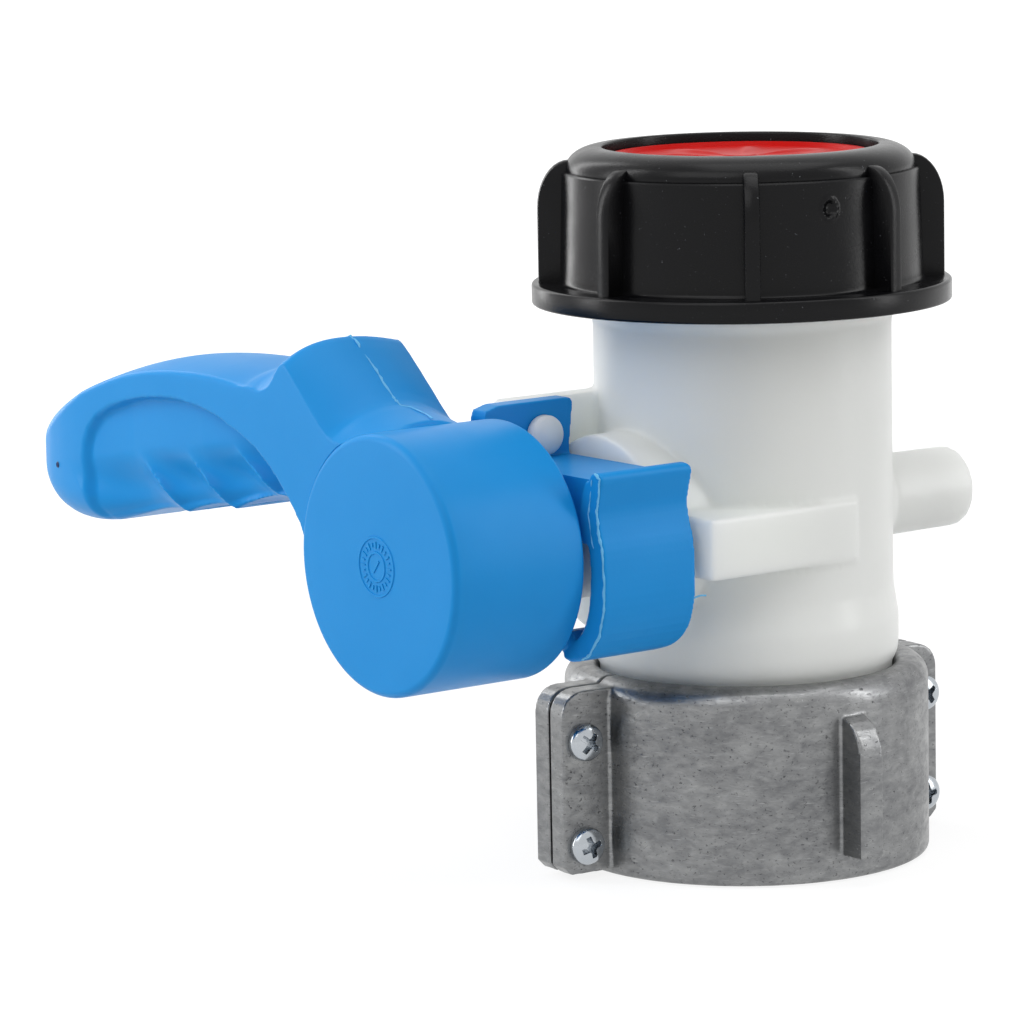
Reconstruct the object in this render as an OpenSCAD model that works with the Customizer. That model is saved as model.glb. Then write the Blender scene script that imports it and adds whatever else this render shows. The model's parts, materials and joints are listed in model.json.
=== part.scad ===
// Lever-operated outlet tap for a liquid container, with its threaded cap and clamp ring.
// Origin: centre of the clamp ring's lower face, on the flow axis.
// +Z runs up the flow axis to the cap, the stem lies along Y with the lever hub towards -Y,
// and the lever's grip points towards -X while the tap is shut.

/* [Flow tube] */
// Outside diameter of the flow tube
tube_d = 56; // [52:0.5:62]
// Extra diameter of the tube below the stem boss
tube_foot_extra = 1.8; // [0.6:0.2:2.4]
// Diameter of the flow passage
bore_d = 47; // [40:0.5:48]
// Height of the stem axis above the clamp ring
stem_rise = 27.2; // [24:0.2:36]
// Height of the cap's underside above the stem axis
cap_rise = 40.8; // [34:0.2:50]

/* [Clamp ring] */
// Bore of the clamp ring's thread, the tank nozzle's nominal size
tank_thread_d = 62; // [61:0.5:66]
// Wall of the clamp ring outside that thread
ring_wall = 3.4; // [2.4:0.1:6]
// Depth of the tank thread
tank_thread_h = 19; // [12:0.5:26]
// Thickness of the lip that holds the tube's flange
ring_lip_t = 8.8; // [5:0.2:12]
// Angle at which the ring stands on the tube
ring_clock = -5; // [-45:1:45]
// Width of each ear beyond the ring
ear_reach = 10; // [8:0.5:14]
// How far the ears at the far side reach out from the ring
far_ear_reach = 6.8; // [6.6:0.2:9]
// Thickness of one ear
ear_t = 4.8; // [3:0.1:7]
// Gap between the two halves
split_gap = 0.6; // [0.2:0.1:1.2]
// Diameter of the clamp screws
clamp_screw_d = 4; // [3:0.5:5]
// Distance between the two screws of an ear
clamp_screw_pitch = 19.6; // [14:0.2:22]
// How far each spanner lug stands proud
lug_proud = 6; // [3:0.5:9]
// Width of each spanner lug
lug_w = 5; // [3:0.5:8]

/* [Stem and disc] */
// Width across the stem's square
stem_sq = 9.8; // [8:0.1:10.4]
// Diameter of the stem's journal in the neck
journal_d = 15; // [14.8:0.1:16]
// Diameter of the far journal
far_journal_d = 9.4; // [7:0.2:9.6]
// Thickness of the shut-off disc
disc_t = 5; // [4:0.2:7]
// Radial depth of the disc's rubber rim
seal_w = 2.2; // [1.4:0.1:3]
// Thickness of each rubber ring on the stem
o_ring_t = 1.84; // [1.6:0.02:2.4]

/* [Boss and stub] */
// Diameter of the round boss on the tube
boss_d = 37.2; // [34:0.2:40]
// Distance of the boss face from the flow axis
boss_y = 34.5; // [32:0.5:36]
// Diameter of the stem neck outside the boss
neck_d = 22; // [21.6:0.2:23.2]
// Length of the neck outside the boss
neck_l = 19; // [16:0.5:19.4]
// Diameter of the far stub at its tip
stub_d = 15.5; // [14:0.1:17]
// Distance of the far stub's tip from the flow axis
stub_y = 51.4; // [46:0.2:60]

/* [Lever] */
// Diameter of the hub
hub_d = 47.6; // [45:0.2:52]
// Length of the hub
hub_l = 29.1; // [26:0.1:36]
// Wall of the hub
hub_wall = 3.2; // [2.4:0.1:4.5]
// Reach of the grip's end from the stem axis
grip_reach = 123.4; // [114:1:150]
// How far each flank of the grip is set in from the hub's end
grip_inset = 1.05; // [0.8:0.05:3]
// Depth of each finger groove
groove_depth = 2.2; // [0.8:0.1:3]
// Number of finger grooves
groove_count = 4; // [3:1:5]

/* [Latch] */
// Thickness of the latch plate
latch_t = 4.3; // [3:0.1:5]
// Distance of the latch pin from the flow axis
latch_pin_y = 41.8; // [41.4:0.1:42.6]
// Height of the latch pin above the stem axis
latch_pin_z = 18.7; // [18:0.1:19.4]
// Diameter of the latch pin's shank
latch_pin_d = 5; // [4:0.2:5.6]
// Diameter of the latch pin's head
latch_head_d = 7.4; // [6.6:0.1:8.4]
// Width of the thumb pad along the stem
pad_w = 20.7; // [16:0.1:21]

/* [Cap] */
// Diameter of the cap's flange
cap_flange_d = 78.6; // [74:0.2:86]
// Thickness of the cap's flange
cap_flange_t = 4; // [2.5:0.1:6]
// Wall of the cap's barrel outside its thread
cap_wall = 3.3; // [2.9:0.1:5]
// Height of the cap
cap_h = 29.2; // [26:0.2:36]
// Diameter of the hole in the cap's top
cap_hole_d = 51.6; // [44:0.2:54]
// Number of grip ribs
rib_count = 8; // [6:1:12]
// Angle of the first rib
rib_clock = 8.7; // [0:0.1:45]
// Thickness of a rib
rib_t = 2.8; // [1.6:0.1:3.5]
// Major diameter of the outlet thread
outlet_thread_d = 59.4; // [59:0.1:60]
// Pitch of the outlet thread
outlet_pitch = 6; // [5:0.5:7]

/* [Fits] */
// Radial running clearance of a shaft in its bore
run_clear = 0.05; // [0.02:0.01:0.1]
// Clearance between parts that move past each other
free_clear = 0.3; // [0.25:0.05:0.4]
// Gap between faces that seat on each other
seat_gap = 0.05; // [0.02:0.01:0.1]

/* [Hidden] */
$fn = 96;

hdpe_white = [0.88, 0.9, 0.87];
lever_blue = [0.08, 0.42, 0.8];
nut_black = [0.07, 0.07, 0.08];
disc_red = [0.85, 0.09, 0.06];
cast_grey = [0.6, 0.6, 0.59];
zinc_grey = [0.78, 0.79, 0.8];
rubber_black = [0.13, 0.13, 0.13];
steel_grey = [0.72, 0.73, 0.74];
eps = 0.01;

// Radii of the tube
tube_r = tube_d / 2;
foot_r = tube_r + tube_foot_extra / 2;
bore_r = bore_d / 2;

// Heights of the clamp ring and what it holds
tank_gasket_t = 3;
flange_t = 5.6;
flange_z = tank_thread_h + tank_gasket_t + 2 * seat_gap;
ring_h = flange_z + flange_t + free_clear + ring_lip_t;
tank_r = tank_thread_d / 2;
ring_r = tank_r + ring_wall;
groove_r = tank_r + 0.6;
flange_r = groove_r - 0.4;
throat_r = foot_r - 1.3;
foot_round = 4;
foot_z = ring_h + foot_round;

// Stem axis and what lies along it
stem_z = ring_h + stem_rise;
boss_r = boss_d / 2;
neck_r = neck_d / 2;
neck_y = boss_y + neck_l;
journal_r = journal_d / 2;
far_r = far_journal_d / 2;
stub_r = stub_d / 2;
stub_root_r = stub_r + 0.45;
stub_end_t = 4;
gland_r = journal_r + 1.9;
gland_l = 7.2;
collar_t = 1.8;
washer_t = 1.2;
collar_y = neck_y - gland_l - washer_t - collar_t - 2 * seat_gap;
pocket_r = gland_r + run_clear;

// Rubber rings on the stem
o_ring_r = o_ring_t / 2;
o_ring_centre = journal_r + run_clear - o_ring_r - 0.02;
o_ring_ys = [bore_r + 5, bore_r + 11];

// Shut-off disc
disc_free = 0.25;
disc_r = bore_r - disc_free;
disc_hub_r = 8.6;
disc_core_r = disc_r - seal_w;

// Lever hub
hub_r = hub_d / 2;
hub_rear_y = neck_y + 2.7;
hub_front_y = hub_rear_y + hub_l;
hub_bore_r = hub_r - hub_wall;
hub_cap_t = 2.4;
hub_web_t = 3;
core_r = 10;
core_front_y = hub_front_y - hub_cap_t - 6;
square_clear = 0.1;
screw_r = 2.5;
screw_head_r = 4.8;
screw_head_t = 2.8;
screw_l = 16;
hub_edge = 1.4;
grip_w = hub_l - 2 * grip_inset;
grip_mid_y = hub_rear_y + hub_l / 2;

// Outlet neck and cap
cap_z = stem_z + cap_rise;
cap_top = cap_z + cap_h;
cap_lip_t = 2.4;
blank_t = 2.1;
cap_gasket_t = 2;
neck_rim_z = cap_top - cap_lip_t - blank_t - cap_gasket_t - 3 * seat_gap;
thread_depth = 1.9;
thread_crest_r = outlet_thread_d / 2;
thread_root_r = thread_crest_r - thread_depth;
cap_major_r = thread_crest_r + 0.5;
cap_minor_r = cap_major_r - 1.7;
ridge_root_w = 3.2;
cap_ridge_z = cap_z + 3;
neck_ridge_z = cap_ridge_z + outlet_pitch / 2;
outlet_turns = (neck_rim_z - free_clear - ridge_root_w / 2 - neck_ridge_z) / outlet_pitch;
cap_flange_r = cap_flange_d / 2;
cap_barrel_r = cap_major_r + cap_wall;
cap_hole_r = cap_hole_d / 2;
rib_r = cap_flange_r - 1.3;

// Latch and the lug that carries it, measured from the stem axis
lug_face_x = -12.1;
lug_t = 5.9;
lug_top = 24.6;
lug_end_y = latch_pin_y + 5.2;
plate_x = lug_face_x + free_clear;
plate_face_x = plate_x + latch_t;
plate_top = lug_top + 0.4;
plate_end_y = hub_rear_y - 1.3;
plate_rear_y = boss_y + 0.9;
web_z = neck_r + 1.4;
web_top = web_z + 2.2;
pad_y = hub_rear_y - 1.9;
pad_x = 22.2;
pad_swing = 2.4;
tooth_x = 14;
tooth_z = -15.2;
tooth_r = 1.7;
tooth_free = 0.4;

// Screws of the clamp ring
screw_zs = [6.4, 6.4 + clamp_screw_pitch];
near_screw_y = ring_r + ear_reach / 2 + 0.3;
far_screw_y = ring_r + far_ear_reach / 2 - 0.2;

// Screws and reach of the ears at each side of the ring, towards -Y and +Y
screw_ys = [-near_screw_y, far_screw_y];

// Stations along the grip: place, lowest and highest point, width and edge radius
grip_stations = [
    [-34, 9, 31.2, grip_w - 2, 3],
    [-56, 2.6, 31.4, grip_w, 4],
    [-78, -0.4, 29.6, grip_w, 5],
    [31.4 - grip_reach, -2.9, 26, grip_w, 6],
    [18.9 - grip_reach, -4.2, 21.8, grip_w - 1, 6.5],
    [9.4 - grip_reach, -2.7, 18.3, grip_w - 4.8, 7],
    [3.4 - grip_reach, 0, 15.8, grip_w - 10.5, 6.5],
    [-grip_reach, 3.2, 12.8, grip_w - 16.5, 4.5]
];

// Rounded section of the grip at one station, measured from the stem axis
module grip_section(x, z_low, z_high, w, r) {
    for (y = [r - w / 2, w / 2 - r])
        for (z = [z_low + r, z_high - r])
            translate([x, y, z])
                rotate([0, 90, 0])
                    cylinder(r = r, h = eps, $fn = 32);
}

// Points round one pass of a trapezoid thread ridge
function ridge_ring(a, z, r_in, r_out, w_in, w_out) = [
    [r_in * cos(a), r_in * sin(a), z - w_in / 2],
    [r_out * cos(a), r_out * sin(a), z - w_out / 2],
    [r_out * cos(a), r_out * sin(a), z + w_out / 2],
    [r_in * cos(a), r_in * sin(a), z + w_in / 2]
];

// Helical thread ridge from height z0, of a number of turns, from radius r_in to r_out
module thread_ridge(z0, turns, pitch, r_in, r_out, w_in, w_out) {
    steps = 40;
    count = round(turns * steps);
    points = [for (i = [0 : count])
        each ridge_ring(360 * i / steps, z0 + pitch * i / steps, r_in, r_out, w_in, w_out)];
    sides = [for (i = [0 : count - 1]) for (k = [0 : 3])
        [4 * i + k, 4 * i + (k + 1) % 4, 4 * i + 4 + (k + 1) % 4, 4 * i + 4 + k]];
    start = [[3, 2, 1, 0]];
    finish = [[4 * count, 4 * count + 1, 4 * count + 2, 4 * count + 3]];
    polyhedron(points = points, faces = concat(sides, start, finish), convexity = 8);
}

// Cylinder along -Y, from one distance to a further one
module along_stem(r, y_near, y_far) {
    translate([0, -y_near, 0])
        rotate([90, 0, 0])
            cylinder(r = r, h = y_far - y_near);
}

// Square bar along -Y
module square_along_stem(w, y_near, y_far) {
    translate([-w / 2, -y_far, -w / 2])
        cube([w, y_far - y_near, w]);
}

module at_stem() {
    translate([0, 0, stem_z])
        children();
}

// Half section of the tube, from its flange to the rim of the outlet neck
module tube_outline() {
    polygon([
        [0, flange_z], [flange_r, flange_z], [flange_r, flange_z + flange_t],
        [throat_r, flange_z + flange_t], [throat_r, ring_h],
        for (a = [0 : 15 : 90]) [throat_r + (foot_r - throat_r) * sin(a), foot_z - foot_round * cos(a)],
        [foot_r, stem_z - boss_r], [tube_r, stem_z - boss_r + 6],
        [tube_r, cap_z - 3], [thread_crest_r + 0.2, cap_z - 1.4], [thread_crest_r + 0.2, cap_z - 0.5],
        [thread_root_r, cap_z + 1.2], [thread_root_r, neck_rim_z], [0, neck_rim_z]
    ]);
}

// Tube with the boss, neck, far stub, latch lug and outlet thread
module valve_body() {
    color(hdpe_white)
        difference() {
            union() {
                rotate_extrude()
                    tube_outline();
                thread_ridge(neck_ridge_z, outlet_turns, outlet_pitch, thread_root_r - 0.6, thread_crest_r, ridge_root_w, 1.4);
                at_stem() {
                    along_stem(boss_r, 0, boss_y);
                    along_stem(neck_r, 0, neck_y);
                    mirror([0, 1, 0]) {
                        rotate([90, 0, 0])
                            cylinder(r1 = stub_root_r, r2 = stub_r, h = stub_y);
                        translate([0, -tube_r + 2, 0])
                            rotate([90, 0, 0])
                                cylinder(r1 = stub_r + 4.5, r2 = stub_r, h = 6);
                    }
                    latch_lug();
                    side_rail();
                }
            }
            translate([0, 0, flange_z - eps])
                cylinder(r = bore_r, h = neck_rim_z - flange_z + 2 * eps);
            at_stem() {
                along_stem(journal_r + run_clear, 0, neck_y + eps);
                along_stem(pocket_r, collar_y - seat_gap, neck_y + eps);
                mirror([0, 1, 0])
                    along_stem(far_r + run_clear, 0, stub_y - stub_end_t);
                translate([lug_face_x - lug_t - eps, -latch_pin_y, latch_pin_z])
                    rotate([0, 90, 0])
                        cylinder(d = latch_pin_d + 2 * run_clear, h = lug_t + 2 * eps);
            }
        }
}

// Lug beside the neck that carries the latch pin
module latch_lug() {
    lug_foot = 8;
    lug_chamfer = 2.4;
    translate([lug_face_x - lug_t, 0, 0])
        rotate([90, 0, 90])
            linear_extrude(height = lug_t)
                polygon([
                    [-tube_r + 8, lug_foot], [-lug_end_y, lug_foot], [-lug_end_y, lug_top - lug_chamfer],
                    [-lug_end_y + lug_chamfer, lug_top], [-tube_r + 8, lug_top]
                ]);
}

// Flat bar that ties the boss to the side of the tube
module side_rail() {
    rail_h = 11.2;
    rail_end = 3.6;
    rail_start = pad_y - pad_w - pad_swing;
    translate([boss_r - 8, -rail_start, -rail_h / 2])
        cube([tube_r + 0.8 - boss_r + 8, rail_start + rail_end, rail_h]);
}

module stem_gland() {
    color(hdpe_white)
        at_stem()
            difference() {
                along_stem(gland_r, neck_y - gland_l, neck_y);
                along_stem(journal_r + run_clear, neck_y - gland_l - eps, neck_y + eps);
            }
}

module stem_thrust_washer() {
    washer_y = neck_y - gland_l - seat_gap;
    color(rubber_black)
        at_stem()
            difference() {
                along_stem(gland_r - 0.1, washer_y - washer_t, washer_y);
                along_stem(journal_r + run_clear, washer_y - washer_t - eps, washer_y + eps);
            }
}

// Round stem with a square at the disc and another at the hub
module stem() {
    color(steel_grey)
        at_stem()
            difference() {
                union() {
                    mirror([0, 1, 0])
                        along_stem(far_r, 0, stub_y - stub_end_t - 1);
                    mirror([0, 1, 0])
                        square_along_stem(stem_sq, 0, bore_r - 1.5);
                    square_along_stem(stem_sq, 0, bore_r + 1);
                    along_stem(journal_r, bore_r + 1, neck_y + 1);
                    along_stem(gland_r - 0.2, collar_y, collar_y + collar_t);
                    square_along_stem(stem_sq, neck_y, core_front_y - 1);
                }
                for (y = o_ring_ys)
                    o_ring_groove(y);
                along_stem(screw_r, core_front_y - screw_l - 1, core_front_y);
            }
}

module o_ring_groove(y) {
    groove_w = 2 * o_ring_r + 0.5;
    difference() {
        along_stem(journal_r + 1, y - groove_w / 2, y + groove_w / 2);
        along_stem(o_ring_centre - o_ring_r - 0.03, y - groove_w, y + groove_w);
    }
}

module stem_o_rings() {
    color(rubber_black)
        at_stem()
            for (y = o_ring_ys)
                translate([0, -y, 0])
                    rotate([90, 0, 0])
                        rotate_extrude()
                            translate([o_ring_centre, 0])
                                circle(r = o_ring_r, $fn = 32);
}

// Disc that shuts the passage, with a cross hub for the stem's square
module shut_off_disc() {
    color(hdpe_white)
        at_stem()
            difference() {
                union() {
                    translate([0, 0, -disc_t / 2])
                        cylinder(r = disc_core_r, h = disc_t);
                    along_stem(disc_hub_r, -disc_core_r + 1.2, disc_core_r - 1.2);
                }
                square_along_stem(stem_sq + square_clear, -bore_r, bore_r);
            }
}

// Rubber rim, bound to the disc and pierced by the stem
module disc_seal() {
    color(rubber_black)
        at_stem()
            difference() {
                intersection() {
                    sphere(r = disc_r, $fn = 128);
                    union() {
                        translate([0, 0, -disc_t / 2 + 0.3])
                            cylinder(r = disc_r + 1, h = disc_t - 0.6);
                        along_stem(disc_hub_r, disc_core_r - 1, disc_r + 1);
                        mirror([0, 1, 0])
                            along_stem(disc_hub_r, disc_core_r - 1, disc_r + 1);
                    }
                }
                translate([0, 0, -disc_t])
                    cylinder(r = disc_core_r + seat_gap, h = 2 * disc_t);
                along_stem(disc_hub_r + seat_gap, -disc_core_r + 1, disc_core_r - 1);
                square_along_stem(stem_sq + square_clear, -bore_r - 1, bore_r + 1);
            }
}

// Grip, lofted through its stations
module grip() {
    for (i = [0 : len(grip_stations) - 2])
        hull()
            for (s = [grip_stations[i], grip_stations[i + 1]])
                grip_section(s[0], s[1], s[2], s[3], s[4]);
}

// Arm that rises from the hub to the crest of the lever
module arm() {
    intersection() {
        rotate([90, 0, 0])
            translate([0, 0, -grip_w / 2])
                linear_extrude(height = grip_w)
                    polygon([
                        [-2, 0], [-2, 22], [-14, 21.6], [-28.6, 34.6], [-31, 35.6], [-33, 35.3],
                        [-38, 31.4], [-42, 30.4], [-42, 10], [-34, 8.9], [-28.4, 8.4], [-25, 4.6],
                        [-20, -2]
                    ]);
        translate([0, 0, 36.6 - 42])
            rotate([0, 90, 0])
                translate([0, 0, -60])
                    cylinder(r = 42, h = 70);
    }
}

module lever_handle() {
    groove_pitch = 16;
    groove_r = 9.5;
    color(lever_blue)
        at_stem()
            difference() {
                union() {
                    translate([0, -grip_mid_y, 0]) {
                        grip();
                        arm();
                    }
                    along_stem(hub_r, hub_rear_y, hub_front_y - hub_cap_t);
                }
                for (i = [0 : groove_count - 1])
                    translate([-46.5 - i * groove_pitch, -grip_mid_y, 4.2 - i * 2.4 - groove_r + groove_depth])
                        rotate([90, 0, 0])
                            cylinder(r = groove_r, h = grip_w + 2, center = true);
                grip_panels();
                difference() {
                    along_stem(hub_bore_r, hub_rear_y + hub_web_t, hub_front_y);
                    along_stem(core_r, hub_rear_y, core_front_y);
                    hub_ribs();
                }
                square_along_stem(stem_sq + square_clear, hub_rear_y - eps, core_front_y + eps);
                along_stem(hub_r + 2 * run_clear, hub_front_y - hub_cap_t, hub_front_y);
                tooth_pocket();
            }
}

// Shallow panel on each flank of the grip
module grip_panels() {
    panel_depth = 2.2;
    for (side = [-1, 1])
        translate([0, -grip_mid_y + side * grip_w / 2, 0])
            rotate([90, 0, 0])
                translate([0, 0, -panel_depth])
                    linear_extrude(height = 2 * panel_depth)
                        polygon([
                            [-26.6, 4.6], [-28.4, 8.7], [-31.5, 11.7], [-34.7, 14.3], [-39.1, 17.2],
                            [-44.9, 19.6], [-52.2, 21.8], [-58.2, 22.9], [-65, 23.5], [-71.9, 23.3],
                            [-77.5, 22.7], [-83.2, 21.7], [-89, 20.1], [-94.1, 18], [-97.5, 15.3],
                            [-99.4, 12], [-100, 6], [-99, -9], [-60, -9], [-34, 0]
                        ]);
}

module hub_ribs() {
    rib_w = 2;
    for (a = [0 : 45 : 135])
        rotate([0, a, 0])
            translate([-hub_r, -(core_front_y - 2), -rib_w / 2])
                cube([2 * hub_r, core_front_y - 2 - hub_rear_y, rib_w]);
}

// Pocket in the hub's rear face that locks the shut lever to the latch's tooth
module tooth_pocket() {
    pocket_depth = 1.5;
    translate([tooth_x, 0, tooth_z])
        along_stem(tooth_r + 0.4, hub_rear_y - eps, hub_rear_y + pocket_depth);
}

module hub_cap() {
    spigot_l = 3.4;
    color(lever_blue)
        at_stem()
            translate([0, -(hub_front_y - hub_cap_t + seat_gap), 0])
                rotate([90, 0, 0])
                    rotate_extrude()
                        polygon([
                            [0, 0], [hub_bore_r - 2, 0], [hub_bore_r - 2, -spigot_l],
                            [hub_bore_r - seat_gap, -spigot_l], [hub_bore_r - seat_gap, 0], [hub_r, 0],
                            for (a = [0 : 15 : 90])
                                [hub_r - hub_edge + hub_edge * cos(a), hub_cap_t - seat_gap - hub_edge + hub_edge * sin(a)],
                            [0, hub_cap_t - seat_gap]
                        ]);
}

module handle_screw() {
    head_y = core_front_y + washer_t + 2 * seat_gap;
    color(zinc_grey)
        at_stem()
            difference() {
                union() {
                    along_stem(screw_head_r, head_y, head_y + screw_head_t);
                    along_stem(screw_r - run_clear, core_front_y - screw_l, head_y + eps);
                }
                along_stem(2.2, head_y + 1.2, head_y + screw_head_t + eps, $fn = 6);
            }
}

module screw_washer() {
    color(zinc_grey)
        at_stem()
            difference() {
                along_stem(core_r - 1, core_front_y + seat_gap, core_front_y + seat_gap + washer_t);
                along_stem(screw_r + 0.2, core_front_y, core_front_y + washer_t + 1);
            }
}

// Latch: plate on the pin, web over the neck, thumb pad, and a tooth at the pad's hook
module lock_latch() {
    color(lever_blue)
        at_stem()
            difference() {
                union() {
                    latch_plate();
                    latch_web();
                    thumb_pad();
                    latch_tooth();
                }
                translate([plate_x - 1, -latch_pin_y, latch_pin_z])
                    rotate([0, 90, 0])
                        cylinder(d = latch_pin_d + 2 * run_clear, h = latch_t + 2);
            }
}

module latch_plate() {
    translate([plate_x, 0, 0])
        rotate([90, 0, 90])
            linear_extrude(height = latch_t)
                polygon([
                    [-plate_rear_y, web_z], [-plate_rear_y, latch_pin_z - 2.2], [-plate_rear_y + 0.9, plate_top - 0.8],
                    [-plate_rear_y + 0.2, plate_top], [-plate_end_y + 3.4, plate_top],
                    [-plate_end_y + 0.5, plate_top - 0.8], [-plate_end_y, plate_top - 2], [-plate_end_y, web_z]
                ]);
}

// Web over the neck, with a cheek that stiffens the pad's front edge
module latch_web() {
    cheek_t = 2.4;
    cheek_x = neck_r + 1.6;
    cheek_z = 3;
    translate([plate_x, -plate_end_y + 0.6, web_z])
        cube([pad_x - plate_x, plate_end_y - 0.6 - plate_rear_y, web_top - web_z]);
    translate([cheek_x, -pad_y, cheek_z])
        cube([pad_x - cheek_x, cheek_t, web_top - cheek_z]);
}

// Point a share t of the way from b to c on a smooth curve through a, b, c and d
function curve_point(a, b, c, d, t) =
    0.5 * (2 * b + (c - a) * t + (2 * a - 5 * b + 4 * c - d) * t * t + (3 * b - a - 3 * c + d) * t * t * t);

// Closed smooth curve through a loop of points
function smooth_loop(p, steps) = [
    for (i = [0 : len(p) - 1])
        for (k = [0 : steps - 1])
            curve_point(p[(i + len(p) - 1) % len(p)], p[i], p[(i + 1) % len(p)], p[(i + 2) % len(p)], k / steps)
];

// S-shaped pad, curved in the XZ plane and rounded at its corners away from the hub
module thumb_pad() {
    corner = 5;
    top_corner = 1.6;
    pad_low = -20;
    pad_high = 17.2;
    rear = -pad_y + pad_w;
    intersection() {
        translate([0, rear, 0])
            rotate([90, 0, 0])
                linear_extrude(height = pad_w)
                    polygon(smooth_loop([
                        [pad_x + 2.6, 16.3], [pad_x + 4, 15.3], [pad_x + 3.2, 12], [pad_x + 2.6, 9],
                        [pad_x + 3.2, 5.6], [pad_x + 4.2, 2.4], [pad_x + 4.6, -3], [pad_x + 4.4, -8.1],
                        [pad_x + 3, -13], [pad_x + 0.1, -16.9], [pad_x - 2.6, -18.3], [pad_x - 6, -19],
                        [pad_x - 8.2, -18.3], [pad_x - 7.4, -17], [pad_x - 4.9, -15.2], [pad_x - 2.2, -12.6],
                        [pad_x - 0.5, -8.7], [pad_x + 0.2, -3], [pad_x - 0.1, 1.8], [pad_x - 1.6, 5.2],
                        [pad_x - 2.4, 8.6], [pad_x - 1.6, 12], [pad_x + 0.2, 14.8], [pad_x + 1, 16]
                    ], 3));
        rotate([90, 0, 90])
            linear_extrude(height = 2 * pad_x)
                polygon([
                    [-pad_y - 1, pad_low],
                    for (a = [-90 : 15 : 0])
                        [rear - corner + corner * cos(a), corner - 19.2 + corner * sin(a)],
                    for (a = [0 : 15 : 90])
                        [rear - top_corner + top_corner * cos(a), 16.6 - top_corner + top_corner * sin(a)],
                    [-pad_y - 1, pad_high]
                ]);
    }
}

// Tooth at the hook's front edge, aimed at the pocket in the hub
module latch_tooth() {
    root_l = 6.3;
    translate([0, -pad_y + root_l, 0])
        rotate([90, 0, 0])
            linear_extrude(height = root_l)
                polygon([
                    [tooth_x - 1.7, tooth_z], [tooth_x - 0.8, tooth_z - 1.8], [tooth_x + 1.4, tooth_z - 3.2],
                    [tooth_x + 4.6, tooth_z - 0.4], [tooth_x + 2.2, tooth_z + 1.8], [tooth_x - 0.9, tooth_z + 1.5]
                ]);
    translate([tooth_x, 0, tooth_z])
        along_stem(tooth_r, pad_y - 1, hub_rear_y - tooth_free);
}

// Headed pin through the lug, with a snap-fit tail behind it
module latch_pin() {
    head_t = 1.2;
    dome = 1.4;
    tail_t = 1.4;
    tail_r = latch_pin_d / 2 + 0.6;
    lug_back = lug_face_x - lug_t - seat_gap;
    head_l = plate_face_x + free_clear - lug_back;
    color(hdpe_white)
        at_stem()
            translate([lug_back, -latch_pin_y, latch_pin_z])
                rotate([0, 90, 0])
                    rotate_extrude()
                        polygon([
                            [0, -tail_t], [tail_r - 0.8, -tail_t], [tail_r, -tail_t + 0.8], [tail_r, 0],
                            [latch_pin_d / 2, 0], [latch_pin_d / 2, head_l],
                            [latch_head_d / 2, head_l], [latch_head_d / 2, head_l + head_t],
                            for (a = [15 : 15 : 90])
                                [latch_head_d / 2 * cos(a), head_l + head_t + dome * sin(a)]
                        ]);
}

// Threaded cap with ribs, open in the middle over the blanking disc
module cap_nut() {
    dome_h = 4.4;
    color(nut_black)
        union() {
            rotate_extrude()
                polygon([
                    [cap_hole_r, cap_top], [cap_hole_r, cap_top - cap_lip_t],
                    [cap_major_r, cap_top - cap_lip_t], [cap_major_r, cap_z],
                    [cap_flange_r, cap_z], [cap_flange_r, cap_z + cap_flange_t],
                    [cap_barrel_r + 0.5, cap_z + cap_flange_t],
                    [cap_barrel_r - 0.1, cap_top - dome_h], [cap_barrel_r - 0.9, cap_top - dome_h],
                    for (a = [0 : 15 : 90])
                        [cap_barrel_r - 6.9 + 6 * cos(a), cap_top - dome_h + 0.4 + (dome_h - 0.4) * sin(a)]
                ]);
            for (i = [0 : rib_count - 1])
                rotate([0, 0, rib_clock + 360 * i / rib_count])
                    cap_rib();
            thread_ridge(cap_ridge_z, outlet_turns, outlet_pitch, cap_minor_r, cap_major_r + 0.6, 1.4, 3.4);
        }
}

module cap_rib() {
    rib_top = cap_top - 2.4;
    rib_round = 6;
    translate([0, rib_t / 2, 0])
        rotate([90, 0, 0])
            linear_extrude(height = rib_t)
                polygon([
                    [cap_barrel_r - 1.5, cap_z + 1], [rib_r, cap_z + 1],
                    for (a = [0 : 15 : 90])
                        [rib_r - rib_round + rib_round * cos(a), rib_top - rib_round * 1.5 + 1.5 * rib_round * sin(a)],
                    [cap_barrel_r - 2.2, rib_top]
                ]);
}

module blanking_disc() {
    blank_z = neck_rim_z + cap_gasket_t + 2 * seat_gap;
    color(disc_red)
        union() {
            translate([0, 0, blank_z])
                cylinder(r = cap_major_r - free_clear, h = blank_t);
            translate([0, 0, blank_z + blank_t - eps])
                difference() {
                    cylinder(r = cap_hole_r - 1.2, h = 0.8);
                    translate([0, 0, -eps])
                        cylinder(r = cap_hole_r - 3, h = 1);
                }
            translate([0, 0, blank_z + blank_t - eps])
                cylinder(r = 3, h = 0.7);
        }
}

module cap_gasket() {
    color(rubber_black)
        translate([0, 0, neck_rim_z + seat_gap])
            difference() {
                cylinder(r = cap_major_r - free_clear, h = cap_gasket_t);
                translate([0, 0, -eps])
                    cylinder(r = bore_r, h = cap_gasket_t + 2 * eps);
            }
}

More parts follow.
